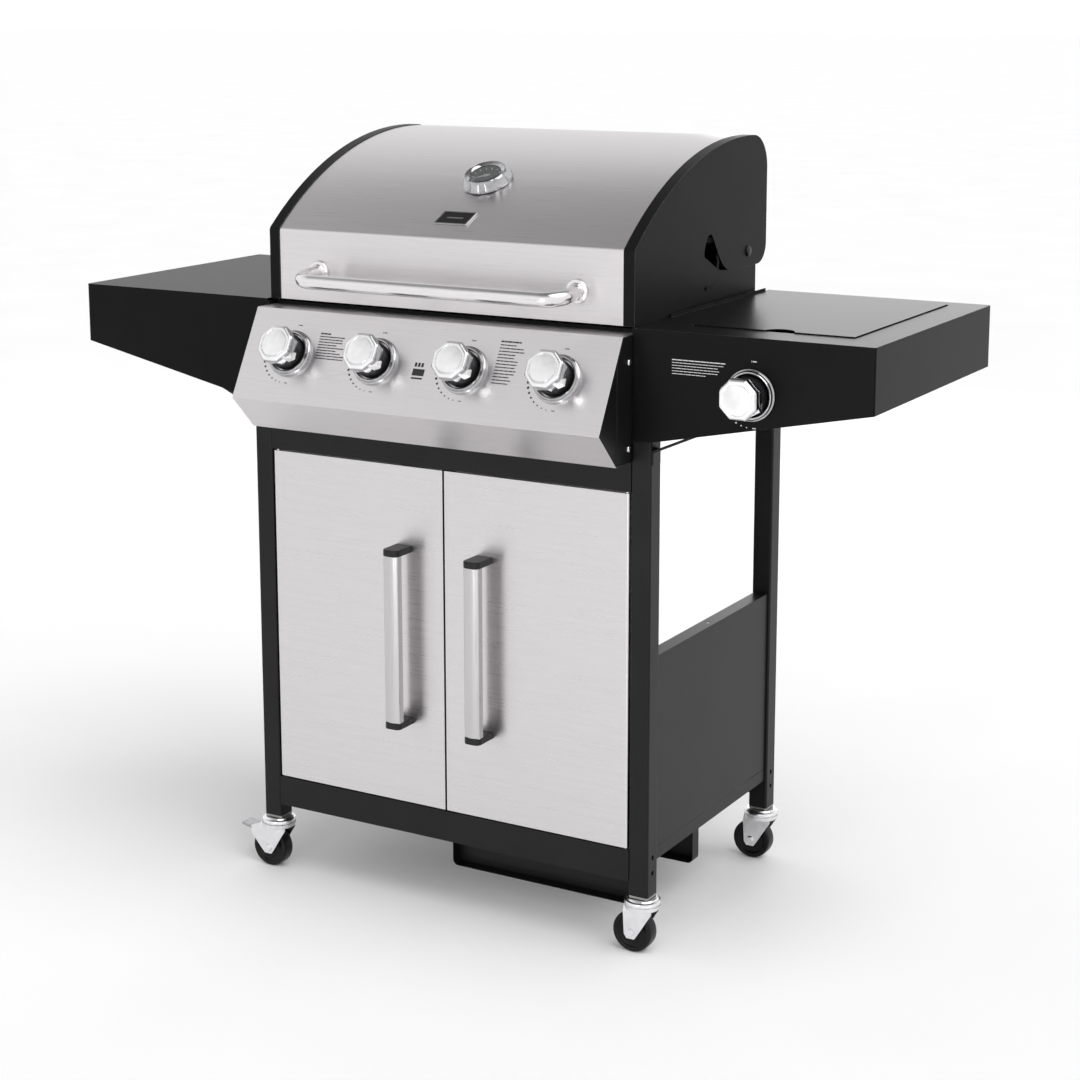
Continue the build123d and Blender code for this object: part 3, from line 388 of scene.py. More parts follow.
def prism(outline, low, high, place):
    # an outline of (x, y) millimetres raised from low to high
    return ringStack([[(x, y, low) for x, y in outline], [(x, y, high) for x, y in outline]], place)


def joinShapes(*shapes):
    verts, faces = [], []
    for someVerts, someFaces in shapes:
        offset = len(verts)
        verts += someVerts
        faces += [tuple(i + offset for i in face) for face in someFaces]
    return verts, faces


def tubeAlong(points, radius, segments=28):
    # a round tube through points in metres, its ends left flat
    rings = []
    side = Vector((0, 0, 1))
    for i, point in enumerate(points):
        before = points[max(i - 1, 0)]
        after = points[min(i + 1, len(points) - 1)]
        along = (after - before).normalized()
        across = along.cross(side).normalized()
        upward = across.cross(along).normalized()
        ring = []
        for k in range(segments):
            angle = 2 * math.pi * k / segments
            spot = point + (across * math.cos(angle) + upward * math.sin(angle)) * radius * 0.001
            ring.append(tuple(spot * 1000))
        rings.append(ring)
    return ringStack(rings, Matrix.Identity(4))


def roundedPath(points, radius, steps=10):
    # straight runs joined by arcs, as points in metres
    path = [points[0]]
    for i in range(1, len(points) - 1):
        into = (points[i] - points[i - 1]).normalized()
        out = (points[i + 1] - points[i]).normalized()
        turn = into.angle(out)
        cut = radius * 0.001 * math.tan(turn / 2)
        start, end = points[i] - into * cut, points[i] + out * cut
        normal = (out - into * into.dot(out)).normalized()
        centre = start + normal * radius * 0.001
        for k in range(steps + 1):
            angle = turn * k / steps
            path.append(centre + (into * math.sin(angle) - normal * math.cos(angle)) * radius * 0.001)
        assert (path[-1] - end).length < 1e-5
    return path + [points[-1]]


# knobs: a plated octagonal cap on a black skirt, inside a plated bezel
# a profile's third value says how far the ring follows the octagon
knobLook = {
    "sides": 8, "pointerTurn": 60, "segments": 96, "cornerRound": 0.22,
    "triangleShare": 0.62, "triangleDepth": 1.2,
    "cap": [(10, 24.8, 0), (25.6, 24.8, 1), (27.2, 25.4, 1), (28.0, 27, 1), (29.2, 38, 1), (29.3, 41.4, 1),
            (28.9, 42.6, 1), (28.0, 43.4, 1), (10, 43.4, 0)],
    "face": [(10, 43.2, 0), (28.1, 43.2, 1), (27.4, 44.6, 1), (26.2, 45.6, 1), (24.8, 46.0, 0.9),
             (22.4, 46.0, 0.5), (21.6, 45.9, 0.35), (21.0, 44.4, 0.3), (20.0, 44.4, 0.3), (19.4, 45.9, 0.3),
             (18.6, 46.0, 0.2), (0.2, 46.0, 0)],
    "skirt": [(9, 5.2), (25.2, 5.2), (25.8, 5.8), (25.8, 9), (25.3, 10.5), (24.8, 17), (24.4, 24.8),
              (9, 25.2)],
    "bezel": [(29.5, 0.2), (34.7, 0.2), (34.9, 1.2), (34.9, 3.4), (34.5, 4.4), (33.4, 5.0), (32.7, 5.8),
              (32.2, 8.4), (31.4, 9.6), (30.2, 9.9), (29.2, 9.7), (28.5, 8.9), (28.2, 7.8), (28.2, 1.4)],
    "wedgeRim": [(-8.5, -26.2, 43), (8.5, -26.2, 43), (0, -30.9, 31)],
    "wedgeFoot": [(-8.5, -24.5, 22), (8.5, -24.5, 22), (0, -30.6, 23)],
}


def octagonShare(angle):
    # distance to a regular polygon's side against its corner distance, its corners eased
    sector = 2 * math.pi / knobLook["sides"]
    inside = (angle % sector) - sector / 2
    sharp = math.cos(sector / 2) / math.cos(inside)
    ease = knobLook["cornerRound"] * (abs(inside) / (sector / 2)) ** 8
    return sharp * (1 - ease) + math.cos(sector / 2) * 1.03 * ease


def pointerShape(place):
    # a wedge on the cap's flank that shows where the knob points, with a sunk triangle in its sloped side
    turn = Matrix.Rotation(math.radians(knobLook["pointerTurn"]), 4, "Z")
    rim = [Vector(p) for p in knobLook["wedgeRim"]]
    foot = [Vector(p) for p in knobLook["wedgeFoot"]]
    centre = (rim[0] + rim[1] + rim[2]) / 3
    inward = (rim[1] - rim[0]).cross(rim[2] - rim[0]).normalized()
    inner = [centre + (p - centre) * knobLook["triangleShare"] for p in rim]
    sunk = [p + inward * knobLook["triangleDepth"] for p in inner]
    verts = [place @ turn @ (p * 0.001) for p in rim + foot + inner + sunk]
    faces = [(0, 2, 5, 3), (2, 1, 4, 5), (3, 5, 4), (0, 3, 4, 1), (9, 10, 11)]
    for i, j in ((0, 1), (1, 2), (2, 0)):
        faces += [(i, j, 6 + j, 6 + i), (6 + i, 6 + j, 9 + j, 9 + i)]
    return verts, faces


def knobPlace(index):
    joint = jointByName[f"knob_{index}_turn"]
    return placeAlong(joint["pos_m"], joint["axis"])


def octagonal(profile, place):
    # turned as an octagon with a flat side up
    flatUp = place @ Matrix.Rotation(math.pi / knobLook["sides"], 4, "Z")
    return turned(profile, flatUp, knobLook["segments"], octagonShare)


for index in range(1, 6):
    place = knobPlace(index)
    body = f"dial_{index}"
    cap = makePiece(f"knobCap{index}", *octagonal(knobLook["cap"], place), chrome, body, "knob_plastic",
                    smoothAngle=22)
    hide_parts(f"knob_{index}")
    makePiece(f"knobFace{index}", *octagonal(knobLook["face"], place), satinChrome, body, "knob_plastic",
              smoothAngle=22)
    makePiece(f"knobSkirt{index}", *turned(knobLook["skirt"], place), blackPlastic, body, "knob_plastic")
    makePiece(f"knobPointer{index}", *pointerShape(place), satinChrome, body, "knob_plastic",
              smoothAngle=30, bevel=0.4)
    bezel = makePiece(f"knobBezel{index}", *turned(knobLook["bezel"], place, segments=72, loop=True), chrome,
                      "cart", "bezel_chrome", smoothAngle=28)
    if index == 1:
        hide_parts("knob_bezels")
print("knobs made")


# printed marks: plain dots, ticks and unreadable rules in place of words
# bars are (x, y, width, height) from the knob's or the panel's middle; the dots shrink as the flame does
markLook = {
    "low": 0.01, "high": 0.15, "dotRing": 44, "dots": 8, "dotLarge": 2.0, "dotSmall": 0.8, "dotFrom": 190,
    "dotTo": 262, "dotSides": 16,
    "bars": [(-0.3, 42.5, 0.6, 3.0), (1.6, 43.3, 5.0, 1.3), (2.0, -44.6, 5.0, 1.1)],
    "plaque": [(-9, -14, 19, 10), (-8, -1, 3.6, 6), (-2.6, -1, 3.6, 6), (2.8, -1, 3.6, 6),
               (-9, -19, 18, 2.4)],
}


def printedDisc(x, y, radius, place):
    turns = [2 * math.pi * k / markLook["dotSides"] for k in range(markLook["dotSides"])]
    outline = [(x + radius * math.cos(turn), y + radius * math.sin(turn)) for turn in turns]
    return prism(outline, markLook["low"], markLook["high"], place)


def printedBar(x, y, width, height, place):
    outline = [(x, y), (x + width, y), (x + width, y + height), (x, y + height)]
    return prism(outline, markLook["low"], markLook["high"], place)


def knobMarks(place):
    shapes = []
    ring = markLook["dotRing"]
    for i in range(markLook["dots"]):
        share = i / (markLook["dots"] - 1)
        angle = math.radians(markLook["dotFrom"] + (markLook["dotTo"] - markLook["dotFrom"]) * share)
        radius = markLook["dotLarge"] + (markLook["dotSmall"] - markLook["dotLarge"]) * share
        shapes.append(printedDisc(ring * math.cos(angle), ring * math.sin(angle), radius, place))
    shapes += [printedBar(*bar, place) for bar in markLook["bars"]]
    return joinShapes(*shapes)


# the first rule of a block is its heading, thicker than the rest; ends and dashes are drawn at random
ruleLook = {"headingThick": 1.5, "shortest": 0.62, "dash": (3.0, 9.0), "gap": 0.7}
ruleBlocks = {
    "panelRulesLeft": {"x": -177, "y": 33.6, "lines": 10, "width": 50, "heading": 0.36, "pitch": 4.1,
                       "thick": 1.5, "seed": 3},
    "panelRulesRight": {"x": 119, "y": 45.6, "lines": 14, "width": 40, "heading": 0.8, "pitch": 4.6,
                        "thick": 1.5, "seed": 7},
    "shelfRules": {"x": -115, "y": 37, "lines": 6, "width": 78, "heading": 1.0, "pitch": 3.7,
                   "thick": 0.8, "seed": 5},
}


def ruleBlock(look, place):
    # short rules broken into word-long dashes
    dice = random.Random(look["seed"])
    shapes = []
    for line in range(look["lines"]):
        end = look["width"] * (dice.uniform(ruleLook["shortest"], 1.0) if line else look["heading"])
        height = look["thick"] * (1 if line else ruleLook["headingThick"])
        y = look["y"] - line * look["pitch"]
        reach = 0.0
        while reach < end:
            dash = min(dice.uniform(*ruleLook["dash"]), end - reach)
            shapes.append(printedBar(look["x"] + reach, y, dash, height, place))
            reach += dash + ruleLook["gap"]
    return joinShapes(*shapes)


sideKnob = 5
for index in range(1, 6):
    ink = paleInk if index == sideKnob else darkInk
    makePiece(f"knobMarks{index}", *knobMarks(knobPlace(index)), ink, "cart", "badge_dark")
panelKnob = jointByName["knob_1_turn"]
panelPlace = placeAlong((0, *panelKnob["pos_m"][1:]), panelKnob["axis"])
for blockName, look in ruleBlocks.items():
    onShelf = blockName == "shelfRules"
    blockPlace = knobPlace(sideKnob) if onShelf else panelPlace
    makePiece(blockName, *ruleBlock(look, blockPlace), paleInk if onShelf else darkInk, "cart", "badge_dark")
plaqueShapes = [printedBar(*bar, panelPlace) for bar in markLook["plaque"]]
makePiece("panelPlaque", *joinShapes(*plaqueShapes), darkInk, "cart", "badge_dark")
print("printed marks made")


# thermometer: plated bezel, dark dial with ticks, domed glass
gaugeLook = {
    "case": [(8, -1.1, 0), (35.4, -1.1, 0), (37.6, 0.4, 1), (37.9, 2.4, 1), (37.2, 4.4, 1), (36.2, 6.2, 1),
             (35.0, 8.2, 1), (33.2, 11.6, 0.8), (31.8, 13.8, 0.3), (30.4, 14.8, 0), (29.2, 14.9, 0),
             (28.2, 14.4, 0), (23.4, 12.6, 0), (23.0, 12.2, 0), (23.4, 11.9, 0), (26.7, 11.9, 0),
             (26.7, 6.4, 0), (8, 6.2, 0)],
    "dial": [(0.4, 6.3), (26.5, 6.3), (26.5, 6.9), (0.4, 6.9)],
    "lens": [(0.4, 10.6), (26.3, 10.6), (26.4, 11.2), (24, 11.7), (18, 12.1), (10, 12.4), (0.4, 12.5)],
    "pivot": [(1.4, 6.8), (1.4, 8.9), (0.8, 9.3), (0.2, 9.4)],
    "probe": [(3.0, -70), (3.0, -1.0), (6.5, -1.0), (6.5, -6.0), (8.5, -6.0), (8.5, -1.1)],
    "lobes": 10, "lobeDepth": 0.075, "ticks": 11, "tickFrom": -35, "tickSweep": 250, "tickOuter": 22,
    "tickInner": 18, "longTick": 1.5, "longEvery": 5, "tickHalf": 0.45, "tickLow": 6.85, "tickHigh": 7.05,
}
gaugeJoint = jointByName["gauge_needle"]
gaugePlace = placeAlong(gaugeJoint["pos_m"], -Vector(gaugeJoint["axis"]))


def lobeShare(angle):
    # finger scallops round the rim
    return 1 - gaugeLook["lobeDepth"] * max(0.0, math.cos(angle * gaugeLook["lobes"])) ** 2


def gaugeTicks():
    shapes = []
    outer, half = gaugeLook["tickOuter"], gaugeLook["tickHalf"]
    for i in range(gaugeLook["ticks"]):
        angle = math.radians(gaugeLook["tickFrom"] + gaugeLook["tickSweep"] * i / (gaugeLook["ticks"] - 1))
        spoke = gaugePlace @ Matrix.Rotation(angle, 4, "Z")
        inner = gaugeLook["tickInner"] - (gaugeLook["longTick"] if i % gaugeLook["longEvery"] == 0 else 0)
        outline = [(inner, -half), (outer, -half), (outer, half), (inner, half)]
        shapes.append(prism(outline, gaugeLook["tickLow"], gaugeLook["tickHigh"], spoke))
    return joinShapes(*shapes)


caseShape = turned(gaugeLook["case"], gaugePlace, segments=160, shape=lobeShare)
case = makePiece("gaugeCase", *caseShape, chrome, "lid", "bezel_chrome", smoothAngle=26)
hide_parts("thermometer_case")
# the probe reaches through the hood into the heat
makePiece("gaugeProbe", *turned(gaugeLook["probe"], gaugePlace, segments=32), plainSteel, "lid", "pipe_steel")
makePiece("gaugeDial", *turned(gaugeLook["dial"], gaugePlace, segments=64), dialFace, "lid", "badge_dark")
makePiece("gaugeTicks", *gaugeTicks(), paleInk, "lid", "badge_dark")
makePiece("gaugePivot", *turned(gaugeLook["pivot"], gaugePlace, segments=24), brass, "lid", "valve_brass")
lens = makePiece("gaugeLens", *turned(gaugeLook["lens"], gaugePlace, segments=64), glass, "lid", "lens_glass",
                 smoothAngle=60)
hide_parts("thermometer_lens")
print("thermometer made")


# badge: a blank slanted plate with a bright frame
badgeLook = {
    "half": (30, 13), "slant": 3, "sideShare": 1.3, "frame": 1.4, "clear": 0.05, "low": 0.2, "inlay": 2.2,
    "high": 2.9, "rule": [(-14, -1.2), (12.6, -1.2), (13.6, 1.2), (-13, 1.2)], "ruleSunk": 0.1,
    "ruleProud": 0.15, "hoodRadius": 545.5, "backOff": 1.6,
}


def badgePlace():
    # square to the hood's curve at the plate's own middle
    low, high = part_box("badge_plate")
    gauge = Vector(gaugeJoint["pos_m"])
    curveCentre = gauge + Vector(gaugeJoint["axis"]) * badgeLook["hoodRadius"] * 0.001
    middle = (low + high) / 2
    outward = (middle - curveCentre).normalized()
    outward.x = 0
    return placeAlong(middle - outward * badgeLook["backOff"] * 0.001, outward)


def slantedOutline(inset):
    half = badgeLook["half"][0] - inset * badgeLook["sideShare"]
    rise = badgeLook["half"][1] - inset
    slant = badgeLook["slant"]
    return [(-half, -rise), (half - 2 * slant, -rise), (half, rise), (-half + 2 * slant, rise)]


def badgeFrame(place):
    outer, inner = slantedOutline(0), slantedOutline(badgeLook["frame"])
    low, high = badgeLook["low"], badgeLook["high"]
    levels = ((outer, low), (outer, high), (inner, high), (inner, low), (outer, low))
    rings = [[(x, y, level) for x, y in outline] for outline, level in levels]
    return ringStack(rings, place, (False, False))


def badgePieces():
    place = badgePlace()
    plate = makePiece("badgeFrame", *badgeFrame(place), chrome, "lid", "badge_dark",
                      smoothAngle=30, bevel=0.25)
    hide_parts("badge_plate")
    inlay = prism(slantedOutline(badgeLook["frame"] + badgeLook["clear"]), badgeLook["low"],
                  badgeLook["inlay"], place)
    makePiece("badgeInlay", *inlay, badgeEnamel, "lid", "badge_dark", smoothAngle=30, bevel=0.2)
    rule = prism(badgeLook["rule"], badgeLook["inlay"] - badgeLook["ruleSunk"],
                 badgeLook["inlay"] + badgeLook["ruleProud"], place)
    makePiece("badgeRule", *rule, chrome, "lid", "badge_dark")


badgePieces()
print("badge made")


# hood handle: one bent satin tube on two turned feet
handleLook = {
    "tube": 10.4, "tubeFront": 10.5, "footSpan": 426, "footRadius": 17.0, "footSunk": 4, "bend": 30,
    "steps": 14, "flare": 8, "drop": 6,
    "flange": [(2, 0.1), (16.4, 0.1), (17.0, 0.8), (17.0, 3.0), (16.2, 4.2), (14.0, 4.9), (12.2, 5.4),
               (11.4, 7.5), (10.6, 8.2), (2, 8.2)],
}


def hoodHandle():
    low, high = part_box("lid_handle")
    footX = handleLook["footSpan"] / 2 * 0.001
    footZ = high.z - handleLook["footRadius"] * 0.001
    tubeEndY = high.y - handleLook["footSunk"] * 0.001
    barX = footX + handleLook["flare"] * 0.001
    barY = low.y + handleLook["tubeFront"] * 0.001
    barZ = footZ - handleLook["drop"] * 0.001
    bends = [Vector((-footX, tubeEndY, footZ)), Vector((-barX, barY, barZ)), Vector((barX, barY, barZ)),
             Vector((footX, tubeEndY, footZ))]
    route = roundedPath(bends, handleLook["bend"], handleLook["steps"])
    tube = tubeAlong(route, handleLook["tube"], segments=40)
    bar = makePiece("hoodHandleTube", *tube, satinTube, "lid", "handle_tube", smoothAngle=50)
    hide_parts("lid_handle")
    for side, label in ((-1, "Left"), (1, "Right")):
        place = placeAlong((side * footX, high.y, footZ), (0, -1, 0))
        foot = turned(handleLook["flange"], place, segments=48)
        makePiece(f"hoodHandleFoot{label}", *foot, satinTube, "lid", "handle_tube")


hoodHandle()
print("hood handle made")


# door handles: a crowned satin bar between two black moulded ends
doorHandleLook = {
    "width": 25, "depth": 13, "crown": 24, "edge": 2.5, "edgeSteps": 6, "crownSteps": 12, "barSunk": 1,
    "capLip": 0.8, "capHeight": 10, "capRounding": 7.8, "capSteps": 8,
    "strip": {"half": 9, "thick": 1.2, "reach": 6, "clear": 0.6},
}


def capOutline(depth):
    # an end cap's section: front corners rounded, back flat; x across, y towards the door
    lip, rounding = doorHandleLook["capLip"], doorHandleLook["capRounding"]
    half = doorHandleLook["width"] / 2 + lip
    points = [(half, depth)]
    for k in range(doorHandleLook["capSteps"] + 1):
        angle = math.radians(90) * k / doorHandleLook["capSteps"]
        across = half - rounding + rounding * math.cos(angle)
        points.append((across, rounding - lip - rounding * math.sin(angle)))
    return points + [(-x, y) for x, y in points[::-1]]


def barOutline():
    # a bar section with a bowed front that ends in small rounded edges
    crown, edge, steps = doorHandleLook["crown"], doorHandleLook["edge"], doorHandleLook["edgeSteps"]
    half = doorHandleLook["width"] / 2
    spread = math.asin((half - edge) / crown)
    side = [(half, doorHandleLook["depth"])]
    start = crown * (1 - math.cos(spread)) + edge
    for k in range(steps + 1):
        angle = (math.radians(90) - spread) * k / steps
        side.append((half - edge + edge * math.cos(angle), start - edge * math.sin(angle)))
    front = []
    for k in range(doorHandleLook["crownSteps"] + 1):
        angle = spread * (1 - 2 * k / doorHandleLook["crownSteps"])
        front.append((crown * math.sin(angle), crown * (1 - math.cos(angle))))
    return side + front + [(-x, y) for x, y in side[::-1]]


def doorHandle(label):
    low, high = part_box(f"door_handle_{label}")
    lip, sunk = doorHandleLook["capLip"], doorHandleLook["barSunk"]
    barLow = low.z * 1000 + doorHandleLook["capHeight"]
    barHigh = high.z * 1000 - doorHandleLook["capHeight"]
    place = Matrix.Translation(((low.x + high.x) / 2, low.y + lip * 0.001, 0))
    section = prism(barOutline(), barLow - sunk, barHigh + sunk, place)
    bar = makePiece(f"doorBar{label.title()}", *section, satinBar, f"{label}_door", "handle_tube",
                    smoothAngle=40)
    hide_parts(f"door_handle_{label}")
    outline = capOutline((high.y - low.y) * 1000 - lip)
    for bottom, top, end in ((low.z * 1000, barLow, "Low"), (barHigh, high.z * 1000, "High")):
        makePiece(f"doorBar{label.title()}{end}Cap", *prism(outline, bottom, top, place), blackPlastic,
                  f"{label}_door", "handle_tube", smoothAngle=30, bevel=1.2)


def doorStopStrip():
    # painted shade: an upright black strip behind the gap between the doors, so the gap reads dark
    look = doorHandleLook["strip"]
    low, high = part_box("door_left")
    half, thick = look["half"], look["thick"]
    section = [(-half, 0), (half, 0), (half, thick), (-half, thick)]
    place = Matrix.Translation((0, high.y + look["clear"] * 0.001, 0))
    strip = prism(section, low.z * 1000 - look["reach"], high.z * 1000 + look["reach"], place)
    makePiece("doorStopStrip", *strip, blackCoat, "cart", "black_frame", smoothAngle=30, bevel=0.3)


doorHandle("left")
doorHandle("right")
doorStopStrip()
print("door handles made")


# casters: a moulded wheel with a soft tread, a ball race on the fork and nuts on the axle
casterLook = {
    "tread": [(24.2, -9.9), (27.2, -10.9), (28.6, -10.6), (29.6, -9.2), (29.95, -6.5), (29.95, 6.5),
              (29.6, 9.2), (28.6, 10.6), (27.2, 10.9), (24.2, 9.9)],
    "core": [(5.2, -10.8), (9.5, -10.8), (10.4, -10.2), (11.4, -8.2), (13, -7.4), (20.4, -7.4), (22, -8.2),
             (23.2, -9.9), (24.6, -9.9), (24.6, 9.9), (23.2, 9.9), (22, 8.2), (20.4, 7.4), (13, 7.4),
             (11.4, 8.2), (10.4, 10.2), (9.5, 10.8), (5.2, 10.8)],
    "race": [(8, 65.8), (23.4, 65.8), (25.4, 67.2), (25.9, 69), (25.9, 70.8), (25.2, 72.2), (23.4, 73),
             (23.4, 73.8), (25.2, 74.4), (25.9, 75.6), (25.9, 77.2), (25.2, 78.6), (22.6, 80), (20.4, 80.6),
             (8, 80.8)],
    # painted shade: a black band across the ball race's groove, where the groove would fall dark
    "grooveShade": [(25.2, 72.4), (26.0, 72.4), (26.0, 73.8), (25.2, 73.8)],
    "nutRadius": 6.2, "nutThick": 3.2, "nutFace": 14.5,
}


def axleNut(joint, side):
    radius = casterLook["nutRadius"]
    turns = [math.radians(60 * k) for k in range(6)]
    hexagon = [(radius * math.cos(turn), radius * math.sin(turn)) for turn in turns]
    face = placeAlong(Vector(joint["pos_m"]) + metres(0, side * casterLook["nutFace"], 0), (0, side, 0))
    return prism(hexagon, 0, casterLook["nutThick"], face)


def casterPieces(name):
    joint = jointByName[f"wheel_{name}_spin"]
    axle = placeAlong(joint["pos_m"], (0, 1, 0))
    wheelBody = f"wheel_{name}"
    coreShape = turned(casterLook["core"], axle, segments=56, loop=True)
    core = makePiece(f"wheelCore_{name}", *coreShape, wheelCore, wheelBody, "caster_rubber", smoothAngle=32)
    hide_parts(f"caster_wheel_{name}")
    treadShape = turned(casterLook["tread"], axle, segments=72, loop=True)
    makePiece(f"wheelTread_{name}", *treadShape, treadRubber, wheelBody, "caster_rubber", smoothAngle=40)
    forkBody = f"swivel_{name}"
    swivel = jointByName[f"swivel_{name}_turn"]["pos_m"]
    post = placeAlong((swivel[0], swivel[1], 0), (0, 0, 1))
    raceShape = turned(casterLook["race"], post, segments=56)
    makePiece(f"forkRace_{name}", *raceShape, zinc, forkBody, "zinc", smoothAngle=28)
    # the black band over the race's groove is painted shade
    grooveShadeShape = turned(casterLook["grooveShade"], post, segments=128, loop=True)
    makePiece(f"forkGrooveShade_{name}", *grooveShadeShape, blackPlastic, forkBody, "zinc", smoothAngle=28)
    for side, end in ((-1, "Front"), (1, "Rear")):
        makePiece(f"axleNut{end}_{name}", *axleNut(joint, side), zinc, forkBody, "zinc",
                  smoothAngle=25, bevel=0.5)


for cornerName in corners:
    casterPieces(cornerName)
print("casters made")


# screws: pan heads with a cross recess on the end plates, domed hinge bolts
screwLook = {
    "head": [(0.2, -1.0), (4.4, -1.0), (4.6, 0.0), (4.5, 0.8), (3.8, 1.8), (2.4, 2.4), (0.2, 2.5)],
    "bolt": [(0.2, -0.6), (8.0, -0.6), (8.0, 0.6), (7.2, 1.7), (5.4, 2.5), (0.2, 2.8)],
    "crossReach": 2.3, "crossHalf": 0.45, "crossLow": 1.6, "crossHigh": (2.52, 2.53), "fromRear": 14,
    "heights": {"High": 0.795, "Low": 0.109}, "boltClear": 0.6,
}
sides = ((-1, "Left"), (1, "Right"))


def crossRecessShade(place):
    # the driver's cross, drawn as two black bars just proud of the head's crown: painted shade standing in
    # for the recess
    long, short = screwLook["crossReach"], screwLook["crossHalf"]
    bars = []
    for (across, along), top in zip(((long, short), (short, long)), screwLook["crossHigh"]):
        outline = [(-across, -along), (across, -along), (across, along), (-across, along)]
        bars.append(prism(outline, screwLook["crossLow"], top, place))
    return joinShapes(*bars)


def panelScrews():
    # two screws in each end plate, at a share of its height
    low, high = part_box("panel_end_plates")
    for side, label in sides:
        for end, share in screwLook["heights"].items():
            spot = (side * high.x, high.y - screwLook["fromRear"] * 0.001, low.z + (high.z - low.z) * share)
            place = placeAlong(spot, (side, 0, 0), (0, 1, 0))
            head = turned(screwLook["head"], place, segments=32)
            makePiece(f"panelScrew{label}{end}", *head, zinc, "cart", "zinc", smoothAngle=40)
            # the cross bars are painted shade for the screw's recess
            makePiece(f"panelScrewCrossShade{label}{end}", *crossRecessShade(place), blackPlastic, "cart", "zinc")
    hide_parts("fasteners")


def hingeBolts():
    # on the hood's hinge line, just clear of its end caps
    hinge = jointByName["lid_hinge"]["pos_m"]
    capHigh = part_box("lid_cap_right")[1]
    for side, label in sides:
        face = side * (capHigh.x + screwLook["boltClear"] * 0.001)
        place = placeAlong((face, hinge[1], hinge[2]), (side, 0, 0), (0, 1, 0))
        bolt = turned(screwLook["bolt"], place, segments=40)
        makePiece(f"hingeBolt{label}", *bolt, blackPlastic, "cart", "zinc", smoothAngle=30)


panelScrews()
hingeBolts()
print("screws made")


# side burner: a cast head with flame ports
burnerLook = {
    "body": [(0.4, 829.2, 0), (39.6, 829.2, 0), (39.8, 833.2, 0), (27, 840, 0), (26, 842, 0), (26, 847.4, 0),
             (35.2, 849.4, 0), (35.8, 850.2, 1), (35.8, 854.6, 1), (35.0, 855.6, 0), (30, 858.2, 0),
             (24, 858.9, 0), (0.4, 859, 0)],
    "ports": 32, "portDepth": 0.07, "portEdge": 0.2,
}


def portShare(angle):
    # flame ports: slots cut into the rim, a little narrower than the metal between them
    wave = math.sin(angle * burnerLook["ports"])
    return 1 - burnerLook["portDepth"] * (1 if wave > burnerLook["portEdge"] else 0)


burnerLow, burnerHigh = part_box("side_burner")
burnerPlace = Matrix.Translation(((burnerLow.x + burnerHigh.x) / 2, (burnerLow.y + burnerHigh.y) / 2, 0))
headShape = turned(burnerLook["body"], burnerPlace, segments=256, shape=portShare)
head = makePiece("sideBurnerHead", *headShape, brass, "cart", "burner_brass", smoothAngle=30)
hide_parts("side_burner")
print("side burner made")


floorLook = {"reach": 60.0, "mottle": 400, "roughness": 0.75, "dark": "#f8f8f8", "light": "#fbfbfb"}


def stageFloor():
    # rolled matt paint, faintly mottled; reach in metres
    reach = floorLook["reach"]
    mesh = bpy.data.meshes.new("studioFloor")
    mesh.from_pydata([(-reach, -reach, 0), (reach, -reach, 0), (reach, reach, 0), (-reach, reach, 0)], [],
                     [(0, 1, 2, 3)])
    material, tree, surface = newMaterial("paintedStudioFloor", {"Roughness": floorLook["roughness"]})
    mottling = grainPattern(tree, (floorLook["mottle"],) * 3, detail=2.0)
    tintByPattern(tree, surface, mottling, floorLook["dark"], floorLook["light"])
    mesh.materials.append(material)
    floor = bpy.data.objects.new("studioFloor", mesh)
    bpy.context.scene.collection.objects.link(floor)


# lights: places and sizes in metres, power in watts
lightLook = {
    "backSoftbox": {"at": (-0.75, 4.2, 1.45), "towards": (0.3, 0, 0.85), "size": (1.7, 1.0), "power": 14},
    "frontStrip": {"at": (0.05, -3.3, 0.8), "towards": (0.05, 0, 0.7), "size": (0.36, 1.5), "power": 15},
}
ceilingLook = {"power": 1.35, "spread": 50, "from": (0.45, -0.12, 0.885)}      # watts a square metre, degrees
skyLook = {
    "strength": 1.06,
    "stops": ((0.0, "#ffffff"), (0.4, "#ffffff"), (0.62, "#f6f6f6"), (0.8, "#a2a2a2"), (1.0, "#707070")),
}


def softbox(name, look):
    data = bpy.data.lights.new(name, "AREA")
    data.shape = "RECTANGLE"
    data.size, data.size_y = look["size"]
    data.energy = look["power"]
    lamp = bpy.data.objects.new(name, data)
    lamp.location = look["at"]
    lamp.rotation_euler = (Vector(look["towards"]) - Vector(look["at"])).to_track_quat("-Z", "Y").to_euler()
    bpy.context.scene.collection.objects.link(lamp)


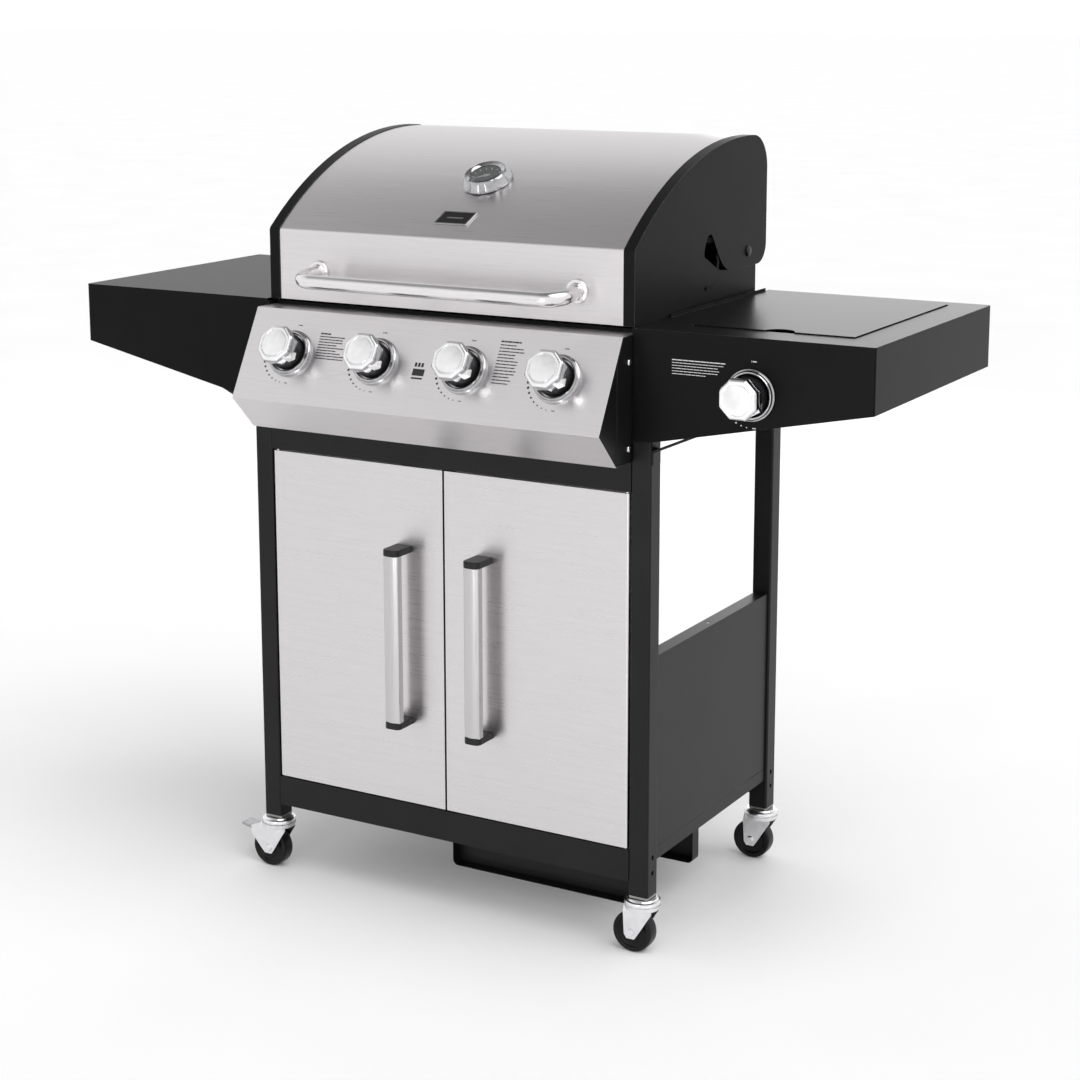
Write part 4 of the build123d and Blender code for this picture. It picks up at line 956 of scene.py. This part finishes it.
def ceilingLight():
    # one wide, even light from the ceiling, so that the floor is pale all the way back
    data = bpy.data.lights.new("ceilingLight", "SUN")
    data.energy = ceilingLook["power"]
    data.angle = math.radians(ceilingLook["spread"])
    lamp = bpy.data.objects.new("ceilingLight", data)
    lamp.rotation_euler = (-Vector(ceilingLook["from"])).to_track_quat("-Z", "Y").to_euler()
    bpy.context.scene.collection.objects.link(lamp)


def studioSky():
    # a pale room: bright walls at eye level, a darker ceiling
    world = bpy.data.worlds.new("studioRoom")
    world.use_nodes = True
    tree = world.node_tree
    tree.nodes.clear()
    direction = addNode(tree, "ShaderNodeTexCoord")
    split = addNode(tree, "ShaderNodeSeparateXYZ", links={"Vector": direction.outputs["Generated"]})
    ramp = addNode(tree, "ShaderNodeValToRGB", links={"Fac": split.outputs["Z"]})
    for position, hexText in skyLook["stops"][1:-1]:
        ramp.color_ramp.elements.new(position)
    for element, (position, hexText) in zip(ramp.color_ramp.elements, skyLook["stops"]):
        element.position = position
        element.color = linearColour(hexText)
    background = addNode(tree, "ShaderNodeBackground", {"Strength": skyLook["strength"]},
                         {"Color": ramp.outputs["Color"]})
    addNode(tree, "ShaderNodeOutputWorld", links={"Surface": background.outputs["Background"]})
    bpy.context.scene.world = world


cameraLook = {
    "at": (1.654585, -2.827478, 1.332507),      # metres from the middle of the cart at floor level
    "right": (0.858951, 0.512038, -0.004602), "up": (-0.093468, 0.165617, 0.981751),
    "back": (0.503456, -0.842845, 0.190116),
    "lens": 74.316, "sensor": 36.0, "shift": (0.0370, -0.1111),
}


def studioCamera():
    legLow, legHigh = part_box("front_legs")[0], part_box("rear_legs")[1]
    cartMiddle = Vector((0, (legLow.y + legHigh.y) / 2, 0))
    data = bpy.data.cameras.new("studioCamera")
    data.lens = cameraLook["lens"]
    data.sensor_width = cameraLook["sensor"]
    data.shift_x, data.shift_y = cameraLook["shift"]
    camera = bpy.data.objects.new("studioCamera", data)
    turnedTo = Matrix((cameraLook["right"], cameraLook["up"], cameraLook["back"])).transposed().to_4x4()
    turnedTo.translation = Vector(cameraLook["at"]) + cartMiddle
    camera.matrix_world = turnedTo
    bpy.context.scene.collection.objects.link(camera)
    bpy.context.scene.camera = camera


stageFloor()
ceilingLight()
for lightName, look in lightLook.items():
    softbox(lightName, look)
studioSky()
studioCamera()
bpy.context.scene.view_settings.view_transform = "Standard"
print("stage, light and camera set")
